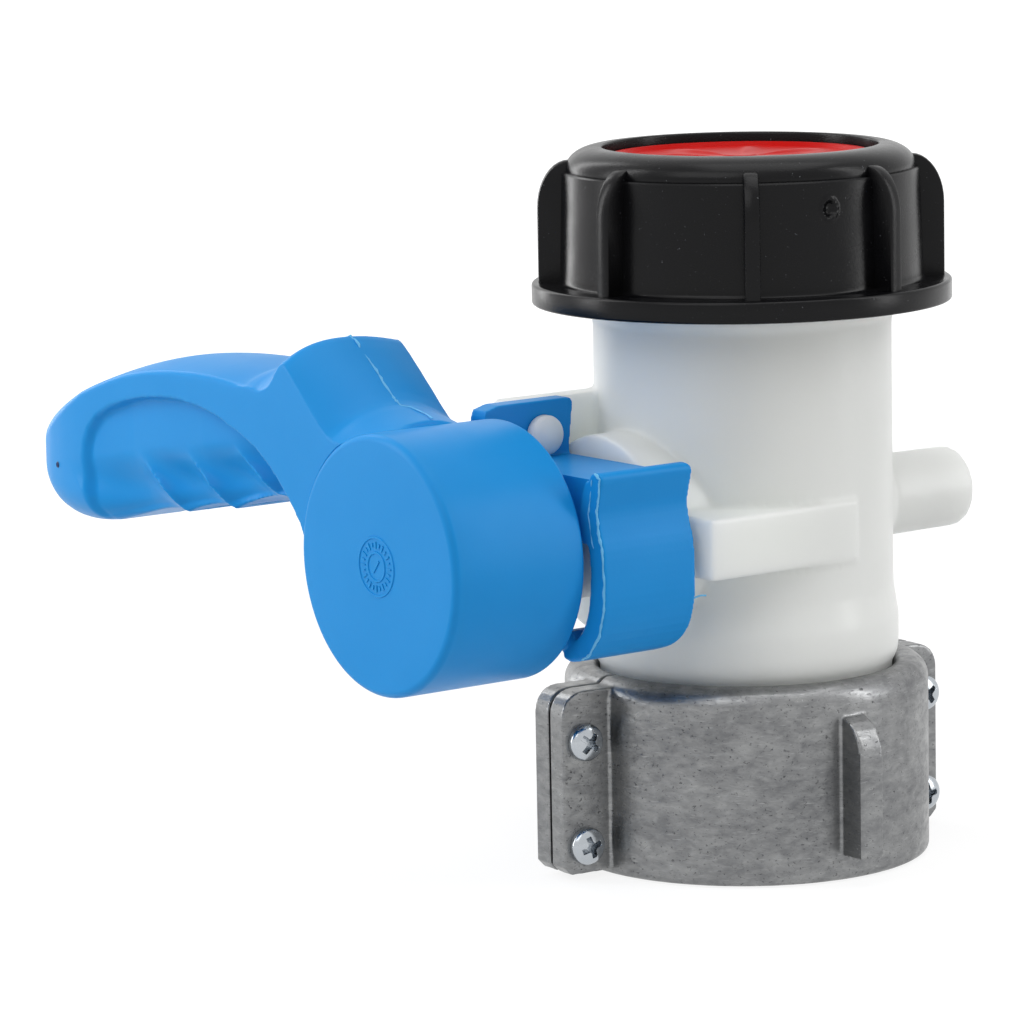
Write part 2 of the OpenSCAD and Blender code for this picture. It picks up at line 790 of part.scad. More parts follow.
// Half section of the clamp ring: thread bore, groove for the flange, lip over it
module ring_outline() {
    top_round = 3.6;
    foot_edge = 1.2;
    inner_round = 1.6;
    lip_r = throat_r + free_clear + 0.2;
    polygon([
        [tank_r, 0], [ring_r - foot_edge, 0],
        for (a = [-90 : 30 : 0]) [ring_r - foot_edge + foot_edge * cos(a), foot_edge + foot_edge * sin(a)],
        for (a = [0 : 15 : 90]) [ring_r - top_round + top_round * cos(a), ring_h - top_round + top_round * sin(a)],
        for (a = [90 : 30 : 180])
            [lip_r + inner_round + inner_round * cos(a), ring_h - inner_round + inner_round * sin(a)],
        [lip_r, flange_z + flange_t + free_clear], [groove_r, flange_z + flange_t + free_clear],
        [groove_r, tank_thread_h], [tank_r, tank_thread_h]
    ]);
}

// One ear of a half ring, towards +Y
module ear(reach) {
    ear_z = 1.2;
    ear_top = ring_h - 1.2;
    ear_out = ring_r + reach;
    corner = 4.6;
    translate([split_gap / 2, 0, 0])
        rotate([90, 0, 90])
            linear_extrude(height = ear_t - split_gap / 2)
                polygon([
                    [tank_r + 1, ear_z], [ear_out - 1.5, ear_z], [ear_out, ear_z + 1.5],
                    for (a = [0 : 15 : 90])
                        [ear_out - corner + corner * cos(a), ear_top - corner + corner * sin(a)],
                    [tank_r + 1, ear_top]
                ]);
}

module spanner_lug() {
    lug_z = 5;
    lug_top_z = 31;
    lug_round = 7;
    lug_x = ring_r + lug_proud;
    translate([0, lug_w / 2, 0])
        rotate([90, 0, 0])
            linear_extrude(height = lug_w)
                polygon([
                    [ring_r - 1.5, lug_z], [lug_x, lug_z],
                    for (a = [0 : 15 : 90])
                        [lug_x - lug_round + lug_round * cos(a), lug_top_z - lug_round + lug_round * sin(a)],
                    [ring_r - 1.5, lug_top_z]
                ]);
}

// One half of the clamp ring, with an ear at -Y and one at +Y, and its spanner lug
module clamp_half(screw_hole_d, minus_reach, plus_reach, hole_ys) {
    difference() {
        union() {
            rotate([0, 0, -90])
                rotate_extrude(angle = 180)
                    ring_outline();
            mirror([0, 1, 0])
                ear(minus_reach);
            ear(plus_reach);
            spanner_lug();
        }
        translate([-ring_r, -ring_r - ear_reach, -1])
            cube([ring_r + split_gap / 2, 2 * (ring_r + ear_reach), ring_h + 2]);
        for (y = hole_ys)
            for (z = screw_zs)
                translate([-1, y, z])
                    rotate([0, 90, 0])
                        cylinder(d = screw_hole_d, h = ear_t + 2);
    }
}

module clamp_half_front() {
    color(cast_grey)
        rotate([0, 0, ring_clock])
            clamp_half(clamp_screw_d + 0.4, ear_reach, far_ear_reach, screw_ys);
}

module clamp_half_rear() {
    color(cast_grey)
        rotate([0, 0, ring_clock + 180])
            clamp_half(clamp_screw_d + 2 * run_clear, far_ear_reach, ear_reach, -screw_ys);
}

module clamp_screws() {
    head_r = 3.5;
    head_t = 1;
    dome = 1.3;
    color(zinc_grey)
        rotate([0, 0, ring_clock])
            for (y = screw_ys)
                for (z = screw_zs)
                    translate([ear_t + seat_gap, y, z])
                        rotate([0, 90, 0])
                            difference() {
                                union() {
                                    translate([0, 0, 1 - 2 * ear_t])
                                        cylinder(d = clamp_screw_d, h = 2 * ear_t - 1 + eps);
                                    rotate_extrude()
                                        polygon([
                                            [0, 0], [head_r, 0], [head_r, head_t],
                                            for (a = [15 : 15 : 90])
                                                [head_r * cos(a), head_t + dome * sin(a)]
                                        ]);
                                }
                                for (a = [0, 90])
                                    rotate([0, 0, a + 20])
                                        translate([-2, -0.45, 0.9])
                                            cube([4, 0.9, 2]);
                            }
}

module tank_gasket() {
    color(rubber_black)
        translate([0, 0, tank_thread_h + seat_gap])
            difference() {
                cylinder(r = flange_r, h = tank_gasket_t);
                translate([0, 0, -eps])
                    cylinder(r = bore_r, h = tank_gasket_t + 2 * eps);
            }
}

valve_body();
stem_gland();
stem_o_rings();
stem();
shut_off_disc();
disc_seal();
lever_handle();
hub_cap();
handle_screw();
screw_washer();
lock_latch();
latch_pin();
cap_nut();
blanking_disc();
cap_gasket();
clamp_half_front();
clamp_half_rear();
clamp_screws();
tank_gasket();
stem_thrust_washer();
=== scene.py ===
"""Looks of a container's lever tap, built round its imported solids.

The tap stands on its clamp ring: flow tube upright along Z, stem along Y with the lever's hub
towards -Y, and the shut lever's grip towards -X. Sizes are in millimetres and are turned to
metres where a mesh is made.
"""

from __future__ import annotations

import json
import logging
import math
from collections.abc import Callable, Sequence
from dataclasses import dataclass
from enum import Enum

import bmesh  # noqa: E402
import bpy  # noqa: E402
import numpy as np  # noqa: E402
from mathutils import Matrix, Vector, noise  # noqa: E402

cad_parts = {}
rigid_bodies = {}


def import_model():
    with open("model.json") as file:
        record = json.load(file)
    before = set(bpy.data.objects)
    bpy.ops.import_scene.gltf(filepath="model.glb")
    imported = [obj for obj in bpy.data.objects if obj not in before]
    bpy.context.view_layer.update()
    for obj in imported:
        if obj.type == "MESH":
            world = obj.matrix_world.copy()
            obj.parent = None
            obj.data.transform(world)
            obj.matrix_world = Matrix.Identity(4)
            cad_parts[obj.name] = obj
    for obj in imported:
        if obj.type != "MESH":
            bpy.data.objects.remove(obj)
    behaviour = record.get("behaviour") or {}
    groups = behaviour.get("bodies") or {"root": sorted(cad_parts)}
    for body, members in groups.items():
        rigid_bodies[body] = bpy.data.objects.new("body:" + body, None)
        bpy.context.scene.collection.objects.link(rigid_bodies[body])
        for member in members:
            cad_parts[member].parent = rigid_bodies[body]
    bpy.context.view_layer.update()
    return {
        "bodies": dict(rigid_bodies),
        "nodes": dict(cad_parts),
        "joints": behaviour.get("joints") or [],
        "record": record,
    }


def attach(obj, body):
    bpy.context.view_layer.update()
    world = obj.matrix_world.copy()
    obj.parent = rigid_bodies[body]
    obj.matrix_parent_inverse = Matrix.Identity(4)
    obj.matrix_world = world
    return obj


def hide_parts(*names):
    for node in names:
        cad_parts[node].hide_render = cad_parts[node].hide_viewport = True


LOG = logging.getLogger("tap")
MM = 0.001
# Seed of the mould flash's stray, which would follow the clock without one.
FLASH_SEED = 7
Outline = Sequence[tuple[float, float]]
Tree = bpy.types.NodeTree
Node = bpy.types.Node
Socket = bpy.types.NodeSocket
FRAME: dict[str, dict] = {}


# Colours and nodes


def linear(code: str) -> tuple[float, float, float, float]:
    """Turns an sRGB colour to linear light.

    Args:
        code: the colour as "#rrggbb".

    Returns:
        Red, green, blue and alpha, from 0 to 1.
    """
    parts = [int(code[i : i + 2], 16) / 255 for i in (1, 3, 5)]
    red, green, blue = (c / 12.92 if c <= 0.04045 else ((c + 0.055) / 1.055) ** 2.4 for c in parts)
    return red, green, blue, 1.0


def add_node(
    tree: Tree,
    kind: str,
    settings: dict[str, object] | None = None,
    inputs: dict[str | int, object] | None = None,
) -> Node:
    """Adds a node with its settings and links.

    Args:
        tree: the node tree that it goes into.
        kind: the node's type name.
        settings: properties of the node by name.
        inputs: for each input by name or number, a value or the output that feeds it.

    Returns:
        The new node.
    """
    made = tree.nodes.new(kind)
    for key, value in (settings or {}).items():
        setattr(made, key, value)
    for key, value in (inputs or {}).items():
        if isinstance(value, Socket):
            tree.links.new(value, made.inputs[key])
        else:
            made.inputs[key].default_value = value
    return made


def per_metre(size_mm: float) -> float:
    """Texture scale that gives features of a real size in millimetres."""
    return 1.0 / (size_mm * MM)


# Finishes


@dataclass(frozen=True)
class Finish:
    """A real material with the way its surface was made.

    Attributes:
        name: the material's name in the scene.
        slot: the record's material slot; not used.
        colour: main colour in sRGB.
        roughness: typical roughness of the surface.
        specular: strength of the mirror share of a surface that isn't metal.
    """

    name: str
    slot: str
    colour: str
    roughness: float
    specular: float = 0.5

    def material(self) -> bpy.types.Material:
        """Gives the material, made at the first call.

        Returns:
            The material with its pattern.
        """
        found = bpy.data.materials.get(self.name)
        if found is not None:
            return found
        made = bpy.data.materials.new(self.name)
        made.use_nodes = True
        tree = made.node_tree
        shader = tree.nodes["Principled BSDF"]
        shader.inputs["Base Color"].default_value = linear(self.colour)
        shader.inputs["Roughness"].default_value = self.roughness
        shader.inputs["Specular IOR Level"].default_value = self.specular
        where = add_node(tree, "ShaderNodeTexCoord").outputs["Object"]
        self.shade(tree, shader, where)
        return made

    def shade(self, tree: Tree, shader: Node, where: Socket) -> None:
        """Adds the surface's pattern; a plain finish adds none.

        Args:
            tree: the material's nodes.
            shader: its principled shader.
            where: coordinates on the piece, in metres.
        """


@dataclass(frozen=True)
class MouldedPlastic(Finish):
    """Injection-moulded plastic.

    Attributes:
        shade_colour: the colour of its slightly darker patches.
        patch_mm: size of the soft patches that flow leaves in the colour.
        grain_mm: size of the fine surface grain.
        grain: strength of that grain.
        specks: share of pale dust on the surface.
        dust_colour: the colour of that dust.
        depth_mm: how deep light wanders into it, 0 for none.
        depth_weight: share of light that does so.
    """

    shade_colour: str = "#000000"
    patch_mm: float = 22.0
    grain_mm: float = 0.45
    grain: float = 0.05
    specks: float = 0.0
    dust_colour: str = "#8d9094"
    depth_mm: float = 0.0
    depth_weight: float = 0.0

    def shade(self, tree: Tree, shader: Node, where: Socket) -> None:
        """Draws soft flow patches, a fine grain, and dust where the plastic holds it.

        Args:
            tree: the material's nodes.
            shader: its principled shader.
            where: coordinates on the piece, in metres.
        """
        dust_mm, wave_mm, wave_height_mm, grain_height_mm = 0.55, self.patch_mm * 0.5, 0.6, 0.2
        patches, grain, waves, dust = (
            add_node(
                tree,
                "ShaderNodeTexNoise",
                inputs={"Vector": where, "Scale": per_metre(size), "Detail": detail, "Roughness": rough},
            ).outputs["Fac"]
            for size, detail, rough in (
                (self.patch_mm, 3.0, 0.6),
                (self.grain_mm, 2.0, 0.55),
                (wave_mm, 1.0, 0.5),
                (dust_mm, 2.0, 0.5),
            )
        )
        colour = add_node(
            tree,
            "ShaderNodeMix",
            {"data_type": "RGBA"},
            {0: patches, 6: linear(self.colour), 7: linear(self.shade_colour)},
        ).outputs[2]
        if self.specks > 0:
            spots = add_node(
                tree,
                "ShaderNodeMapRange",
                inputs={"Value": dust, "From Min": 0.74 - self.specks * 0.1, "From Max": 0.8, "To Max": 0.4},
            ).outputs["Result"]
            dusty = {0: spots, 6: colour, 7: linear(self.dust_colour)}
            colour = add_node(tree, "ShaderNodeMix", {"data_type": "RGBA"}, dusty).outputs[2]
        sheen = add_node(
            tree,
            "ShaderNodeMapRange",
            inputs={
                "Value": patches,
                "From Min": 0.3,
                "From Max": 0.7,
                "To Min": self.roughness - 0.05,
                "To Max": self.roughness + 0.06,
            },
        )
        soft = add_node(
            tree,
            "ShaderNodeBump",
            inputs={"Height": waves, "Strength": 0.12, "Distance": wave_height_mm * MM},
        )
        fine = add_node(
            tree,
            "ShaderNodeBump",
            inputs={
                "Height": grain,
                "Strength": self.grain,
                "Distance": grain_height_mm * MM,
                "Normal": soft.outputs["Normal"],
            },
        )
        tree.links.new(colour, shader.inputs["Base Color"])
        tree.links.new(sheen.outputs["Result"], shader.inputs["Roughness"])
        tree.links.new(fine.outputs["Normal"], shader.inputs["Normal"])
        if self.depth_weight > 0:
            shader.inputs["Subsurface Weight"].default_value = self.depth_weight
            shader.inputs["Subsurface Radius"].default_value = (1.0, 1.0, 1.0)
            shader.inputs["Subsurface Scale"].default_value = self.depth_mm * MM


@dataclass(frozen=True)
class DieCastAluminium(Finish):
    """Raw die-cast aluminium: grey oxide clouds, dark pits and rubbed streaks round the ring.

    Attributes:
        dark: colour of the oxide clouds; the main colour is that of the metal between them.
        rubbed: colour of the rubbed streaks.
        pit: colour inside the pits.
    """

    dark: str = "#696a6c"
    rubbed: str = "#b4b5b5"
    pit: str = "#38393b"

    def shade(self, tree: Tree, shader: Node, where: Socket) -> None:
        """Draws clouds at 8 mm, mottling at 1.4 mm, pits at 0.45 mm and streaks 0.25 mm high.

        Args:
            tree: the material's nodes.
            shader: its principled shader.
            where: coordinates on the piece, in metres.
        """
        clouds, mottle, streaks, pits = (
            add_node(
                tree,
                "ShaderNodeTexNoise",
                inputs={
                    "Vector": add_node(
                        tree,
                        "ShaderNodeMapping",
                        inputs={"Vector": where, "Scale": (1 / stretch, 1 / stretch, 1.0)},
                    ).outputs["Vector"],
                    "Scale": per_metre(size_mm),
                    "Detail": detail,
                    "Roughness": 0.65,
                    "Distortion": 0.4,
                },
            ).outputs["Fac"]
            for size_mm, stretch, detail in (
                (8.0, 1.6, 4.0),
                (1.4, 2.2, 4.0),
                (0.25, 9.0, 1.0),
                (0.45, 1.6, 3.0),
            )
        )
        both = add_node(
            tree, "ShaderNodeMath", {"operation": "MULTIPLY_ADD"}, {0: clouds, 1: 0.9, 2: mottle}
        ).outputs[0]
        surface = linear(self.dark)
        shares = []
        for value, low, high, top, colour in (
            (both, 0.65, 1.25, 1.0, self.colour),
            (streaks, 0.64, 0.8, 0.4, self.rubbed),
            (pits, 0.6, 0.7, 0.8, self.pit),
        ):
            share = add_node(
                tree,
                "ShaderNodeMapRange",
                inputs={"Value": value, "From Min": low, "From Max": high, "To Max": top},
            ).outputs["Result"]
            surface = add_node(
                tree, "ShaderNodeMix", {"data_type": "RGBA"}, {0: share, 6: surface, 7: linear(colour)}
            ).outputs[2]
            shares.append(share)
        tone, _, sunk = shares
        rough = add_node(
            tree,
            "ShaderNodeMapRange",
            inputs={"Value": tone, "To Min": self.roughness + 0.1, "To Max": self.roughness - 0.06},
        )
        cast = add_node(
            tree, "ShaderNodeBump", inputs={"Height": both, "Strength": 0.25, "Distance": 0.25 * MM}
        )
        holes = add_node(
            tree,
            "ShaderNodeBump",
            {"invert": True},
            {"Height": sunk, "Strength": 0.35, "Distance": 0.15 * MM, "Normal": cast.outputs["Normal"]},
        )
        tree.links.new(surface, shader.inputs["Base Color"])
        tree.links.new(rough.outputs["Result"], shader.inputs["Roughness"])
        tree.links.new(holes.outputs["Normal"], shader.inputs["Normal"])
        shader.inputs["Metallic"].default_value = 1.0


@dataclass(frozen=True)
class ZincPlate(Finish):
    """Bright zinc plate on pressed steel: cool metal with faint cloudy wear."""

    def shade(self, tree: Tree, shader: Node, where: Socket) -> None:
        """Draws plating clouds 0.8 mm across in the roughness and a light orange peel.

        Args:
            tree: the material's nodes.
            shader: its principled shader.
            where: coordinates on the piece, in metres.
        """
        clouds = add_node(
            tree,
            "ShaderNodeTexNoise",
            inputs={"Vector": where, "Scale": per_metre(0.8), "Detail": 3.0, "Roughness": 0.6},
        )
        rough = add_node(
            tree,
            "ShaderNodeMapRange",
            inputs={
                "Value": clouds.outputs["Fac"],
                "From Min": 0.3,
                "From Max": 0.7,
                "To Min": self.roughness - 0.05,
                "To Max": self.roughness + 0.08,
            },
        )
        peel = add_node(
            tree,
            "ShaderNodeBump",
            inputs={"Height": clouds.outputs["Fac"], "Strength": 0.05, "Distance": 0.05 * MM},
        )
        tree.links.new(rough.outputs["Result"], shader.inputs["Roughness"])
        tree.links.new(peel.outputs["Normal"], shader.inputs["Normal"])
        shader.inputs["Metallic"].default_value = 1.0


@dataclass(frozen=True)
class MouldedRubber(Finish):
    """Moulded nitrile rubber: near black and matt, with a faint bloom.

    Attributes:
        bloom: colour of the bloom.
    """

    bloom: str = "#2b2b2c"

    def shade(self, tree: Tree, shader: Node, where: Socket) -> None:
        """Draws a bloom in patches of 3 mm.

        Args:
            tree: the material's nodes.
            shader: its principled shader.
            where: coordinates on the piece, in metres.
        """
        patches = add_node(
            tree,
            "ShaderNodeTexNoise",
            inputs={"Vector": where, "Scale": per_metre(3.0), "Detail": 3.0},
        )
        colour = add_node(
            tree,
            "ShaderNodeMix",
            {"data_type": "RGBA"},
            {0: patches.outputs["Fac"], 6: linear(self.colour), 7: linear(self.bloom)},
        )
        tree.links.new(colour.outputs[2], shader.inputs["Base Color"])


# Polypropylene, dyed blue and injection-moulded with a fine satin grain: even colour, broad soft
# highlights and a little light carried inside, so that thin edges look paler.
BLUE_PP = MouldedPlastic(
    "polypropylene_blue_satin_moulded",
    "blue_plastic",
    "#1a93de",
    0.38,
    0.16,
    shade_colour="#188bd4",
    patch_mm=26.0,
    grain_mm=0.5,
    grain=0.06,
    depth_mm=1.2,
    depth_weight=0.12,
)
# The same polypropylene where it squeezed out as a thin skin: paler, since light passes through.
BLUE_PP_FLASH = MouldedPlastic(
    "polypropylene_blue_flash",
    "blue_plastic",
    "#7cc6f2",
    0.45,
    0.12,
    shade_colour="#62b4ea",
    patch_mm=4.0,
    grain_mm=0.4,
    grain=0.1,
    depth_mm=1.0,
    depth_weight=0.3,
)
# The gate's stub, where the runner was twisted off: the same plastic, in a dark colour that is painted shade
# of its small pit.
BLUE_PP_GATE_PAINTED_SHADE = MouldedPlastic(
    "polypropylene_blue_gate_painted_shade",
    "blue_plastic",
    "#0a2f66",
    0.5,
    shade_colour="#06234f",
    patch_mm=2.0,
    grain_mm=0.3,
    grain=0.2,
)
# Natural polyethylene, blow-smooth from a polished mould: milky, light spreads far inside it.
NATURAL_PE = MouldedPlastic(
    "polyethylene_natural_moulded",
    "natural_hdpe",
    "#f5f7f3",
    0.32,
    0.3,
    shade_colour="#f0f3ee",
    patch_mm=30.0,
    grain_mm=0.8,
    grain=0.03,
    depth_mm=8.0,
    depth_weight=0.7,
)
# Polypropylene filled with carbon black, injection-moulded: deep black with soft sheen and dust.
BLACK_PP = MouldedPlastic(
    "polypropylene_black_moulded",
    "black_plastic",
    "#08080a",
    0.24,
    0.17,
    shade_colour="#0d0d0f",
    patch_mm=14.0,
    grain_mm=0.35,
    grain=0.14,
    specks=0.25,
)
# Polyethylene, dyed red and injection-moulded glossy: clear highlights on its soft ribs.
RED_PE = MouldedPlastic(
    "polyethylene_red_glossy_moulded",
    "red_plastic",
    "#c8100b",
    0.34,
    0.07,
    shade_colour="#b60e0a",
    patch_mm=10.0,
    grain_mm=0.5,
    grain=0.04,
)
# Polypropylene with glass fibre, moulded: pale grey with fibre streaks just under the skin.
FILLED_PP = MouldedPlastic(
    "polypropylene_glass_filled",
    "stem_plastic",
    "#c3c5c0",
    0.5,
    shade_colour="#b4b6b1",
    patch_mm=5.0,
    grain_mm=0.3,
    grain=0.12,
)
# Aluminium as it left the die, not machined: grey and cloudy with soft reflections, and pitted.
CAST_ALUMINIUM = DieCastAluminium("aluminium_die_cast_raw", "cast_aluminium", "#939494", 0.33)
# Steel with bright zinc plate: the cleanest metal here, cool and clear in its reflections.
ZINC_STEEL = ZincPlate("steel_zinc_plated", "zinc_steel", "#b4b9be", 0.2)
# Moulded nitrile rubber: takes the light without a highlight.
NITRILE = MouldedRubber("nitrile_rubber_moulded", "black_rubber", "#1c1c1d", 0.7)


# Meshes


class Axis(Enum):
    """Direction that a turned piece's axis takes in the part's frame."""

    UP = "up"
    HUB = "hub"
    OUT = "out"


def placing(axis: Axis, origin: tuple[float, float, float] = (0.0, 0.0, 0.0)) -> Matrix:
    """Gives the placement of a piece drawn along its own +Z.

    Args:
        axis: where its +Z goes: up, towards the hub, or out along +X.
        origin: where its origin goes, in millimetres.

    Returns:
        The placement as a 4x4 matrix.
    """
    turn = {
        Axis.UP: Matrix.Identity(4),
        Axis.HUB: Matrix.Rotation(math.pi / 2, 4, "X"),
        Axis.OUT: Matrix.Rotation(math.pi / 2, 4, "Y"),
    }[axis]
    return Matrix.Translation(Vector(origin)) @ turn


def arc(
    centre: tuple[float, float],
    radius: float,
    start: float,
    end: float,
    steps: int,
    height: float | None = None,
) -> list[tuple[float, float]]:
    """Gives points along an arc of a circle or an ellipse.

    Args:
        centre: the arc's centre.
        radius: its radius, along the first axis.
        start: first angle in degrees.
        end: last angle in degrees.
        steps: number of steps between them.
        height: radius of an ellipse along the second axis.

    Returns:
        The points, both ends included.
    """
    angles = [math.radians(start + (end - start) * i / steps) for i in range(steps + 1)]
    rise = radius if height is None else height
    return [(centre[0] + radius * math.cos(a), centre[1] + rise * math.sin(a)) for a in angles]


class Draft:
    """A mesh in the making, in millimetres of the part's frame."""

    def __init__(self, name: str) -> None:
        """Starts an empty mesh.

        Args:
            name: the piece's name.
        """
        self.name = name
        self.points: list[tuple[float, float, float]] = []
        self.faces: list[tuple[int, ...]] = []

    def grid(
        self,
        rows: Sequence[Sequence[Sequence[float]]],
        place: Matrix | None = None,
        wrap_rows: bool = False,
        wrap_columns: bool = True,
        caps: bool = False,
    ) -> Draft:
        """Adds a surface through rows of points.

        Args:
            rows: equal rows of points.
            place: placement of the points.
            wrap_rows: joins the last row to the first.
            wrap_columns: joins each row's end to its start.
            caps: closes the first and the last row.

        Returns:
            The draft itself.
        """
        move = place or Matrix.Identity(4)
        base, count, width = len(self.points), len(rows), len(rows[0])
        self.points += [tuple(move @ Vector(p)) for row in rows for p in row]
        for i in range(count if wrap_rows else count - 1):
            for k in range(width if wrap_columns else width - 1):
                a, b = i * width, (i + 1) % count * width
                m = (k + 1) % width
                self.faces.append((base + a + k, base + a + m, base + b + m, base + b + k))
        if caps:
            self.faces.append(tuple(base + k for k in reversed(range(width))))
            self.faces.append(tuple(base + (count - 1) * width + k for k in range(width)))
        return self

    def lathe(
        self,
        profile: Outline,
        place: Matrix,
        steps: int = 192,
        closed: bool = True,
        shift: Callable[[float, float, float], tuple[float, float]] | None = None,
    ) -> Draft:
        """Turns a profile of (radius, height) points about the piece's own Z.

        Args:
            profile: the points, anticlockwise with the radius to the right.
            place: placement of the piece.
            steps: number of steps round.
            closed: joins the profile's end to its start.
            shift: gives the changed radius and height for an angle, radius and height.

        Returns:
            The draft itself.
        """
        rows = []
        for i in range(steps):
            a = 2 * math.pi * i / steps
            row = []
            for r, z in profile:
                if shift is not None:
                    r, z = shift(a, r, z)
                row.append((r * math.cos(a), r * math.sin(a), z))
            rows.append(row)
        return self.grid(rows, place, wrap_rows=True, wrap_columns=closed)

    def prism(self, outline: Outline, low: float, high: float, place: Matrix) -> Draft:
        """Adds a bar of an outline between two heights along its own Z."""
        rows = [[(x, y, z) for x, y in outline] for z in (low, high)]
        return self.grid(rows, place, caps=True)

    def thread(self, low: float, pitch: float, turns: float, section: Callable[[float], Outline]) -> Draft:
        """Adds a thread's ridge that winds up about the flow axis.

        Args:
            low: height at which it starts.
            pitch: rise for each turn.
            turns: number of turns.
            section: gives the ridge's (radius, height) points after a number of turns.

        Returns:
            The draft itself.
        """
        steps = 96
        rows = []
        for i in range(round(turns * steps) + 1):
            a = 2 * math.pi * i / steps
            z = low + pitch * i / steps
            rows.append([(r * math.cos(a), r * math.sin(a), z + dz) for r, dz in section(i / steps)])
        return self.grid(rows, caps=True)

    def sweep(self, path: Sequence[Vector], radii: Sequence[float], sides: int = 6) -> Draft:
        """Adds a thin closed string along a path.

        Args:
            path: its points in millimetres.
            radii: its radius at each point.
            sides: number of sides.

        Returns:
            The draft itself.
        """
        # A direction that no string runs along, so that the sides never vanish
        aside = Vector((0.31, 0.17, 0.93))
        rows = []
        for i, p in enumerate(path):
            along = (path[min(i + 1, len(path) - 1)] - path[max(i - 1, 0)]).normalized()
            side = along.cross(aside).normalized()
            other = along.cross(side)
            rows.append(
                [
                    p + radii[i] * (math.cos(a) * side + math.sin(a) * other)
                    for a in (2 * math.pi * k / sides for k in range(sides))
                ]
            )
        return self.grid(rows, caps=True)

    def piece(self, crease_deg: float = 32.0) -> bpy.types.Object:
        """Makes the object.

        Args:
            crease_deg: edges sharper than this stay sharp.

        Returns:
            The object, linked to the scene.
        """
        mesh = bpy.data.meshes.new(self.name)
        mesh.from_pydata([tuple(c * MM for c in p) for p in self.points], [], self.faces)
        mesh.validate()
        tidy_normals(mesh)
        mesh.shade_smooth()
        mesh.set_sharp_from_angle(angle=math.radians(crease_deg))
        made = bpy.data.objects.new(self.name, mesh)
        bpy.context.scene.collection.objects.link(made)
        return made


def tidy_normals(mesh: bpy.types.Mesh) -> None:
    """Merges doubled points and turns every face outwards.

    Args:
        mesh: the mesh, which is changed.
    """
    merge_mm = 0.004
    work = bmesh.new()
    work.from_mesh(mesh)
    bmesh.ops.remove_doubles(work, verts=work.verts, dist=merge_mm * MM)
    bmesh.ops.recalc_face_normals(work, faces=work.faces)
    work.to_mesh(mesh)
    work.free()


def settle(made: bpy.types.Object) -> bpy.types.Object:
    """Turns an object's modifiers into its final mesh.

    Args:
        made: the object.

    Returns:
        The same object.
    """
    shown = made.evaluated_get(bpy.context.evaluated_depsgraph_get())
    mesh = bpy.data.meshes.new_from_object(shown)
    made.modifiers.clear()
    made.data = mesh
    mesh.name = made.name
    return made


def fuse(made: bpy.types.Object, voxel_mm: float, rounds: int) -> bpy.types.Object:
    """Fuses a piece's solids into one skin with small fillets, as a mould leaves them.

    Args:
        made: the object.
        voxel_mm: size of the voxels.
        rounds: number of smoothing rounds, each of half strength.

    Returns:
        The object with its final mesh.
    """
    skin = made.modifiers.new("skin", "REMESH")
    skin.mode = "VOXEL"
    skin.voxel_size = voxel_mm * MM
    skin.use_smooth_shade = True
    ease = made.modifiers.new("ease", "SMOOTH")
    ease.factor = 0.5
    ease.iterations = rounds
    settle(made)
    made.data.shade_smooth()
    return made


def eased_copy(node: str, name: str, voxel_mm: float, rounds: int) -> bpy.types.Object:
    """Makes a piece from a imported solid's own surface, with its edges eased.

    Args:
        node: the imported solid's name.
        name: the new piece's name.
        voxel_mm: size of the voxels.
        rounds: number of smoothing rounds.

    Returns:
        The piece, in the solid's place.
    """
    made = bpy.data.objects.new(name, FRAME["nodes"][node].data.copy())
    made.data.materials.clear()
    bpy.context.scene.collection.objects.link(made)
    return fuse(made, voxel_mm, rounds)


def cut_away(made: bpy.types.Object, cutter: bpy.types.Object) -> None:
    """Cuts one object's volume out of another.

    Args:
        made: the object that is cut.
        cutter: the object that cuts it and is removed.
    """
    cut = made.modifiers.new("cut", "BOOLEAN")
    cut.operation = "DIFFERENCE"
    cut.solver = "EXACT"
    cut.object = cutter
    settle(made)
    bpy.data.objects.remove(cutter)


def dress(made: bpy.types.Object, finish: Finish, body: str, *stands_for: str) -> None:
    """Gives a new piece its finish and body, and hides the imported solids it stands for.

    Args:
        made: the object.
        finish: its finish.
        body: the body that it rides on.
        stands_for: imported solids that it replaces.
    """
    made.data.materials.clear()
    made.data.materials.append(finish.material())
    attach(made, body)
    if stands_for:
        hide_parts(*stands_for)
    LOG.info("%s: %d faces, %s", made.name, len(made.data.polygons), finish.name)


def dress_solids(finishes: dict[str, Finish]) -> None:
    """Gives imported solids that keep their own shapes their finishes.

    Args:
        finishes: the finish of each solid, by the solid's name.
    """
    for node, finish in finishes.items():
        solid = FRAME["nodes"][node]
        solid.data.materials.clear()
        solid.data.materials.append(finish.material())
        LOG.info("%s: packed solid, %s", node, finish.name)


def rough_line(start: Vector, end: Vector, steps: int, wander: float, seed: float) -> list[Vector]:
    """Gives an uneven line between two points, as mould flash runs.

    Args:
        start: first point.
        end: last point.
        steps: number of steps.
        wander: how far it strays, in millimetres.
        seed: shifts the pattern.

    Returns:
        The points.
    """
    turns_per_step = 0.35
    points = []
    for i in range(steps + 1):
        t = i / steps
        stray = noise.noise_vector(Vector((seed, t * steps * turns_per_step, 3.1)))
        points.append(start.lerp(end, t) + wander * stray)
    return points


def rough_path(corners: Sequence[Vector], steps: int, wander: float, seed: float) -> list[Vector]:
    """Gives an uneven line through several points, without the last of them.

    Args:
        corners: the points.
        steps: number of steps between each pair.
        wander: how far it strays, in millimetres.
        seed: shifts the first pair's pattern; each pair after it adds one.

    Returns:
        The points.
    """
    path: list[Vector] = []
    for i, (a, b) in enumerate(zip(corners[:-1], corners[1:], strict=True)):
        path += rough_line(a, b, steps, wander, seed + i)[:-1]
    return path


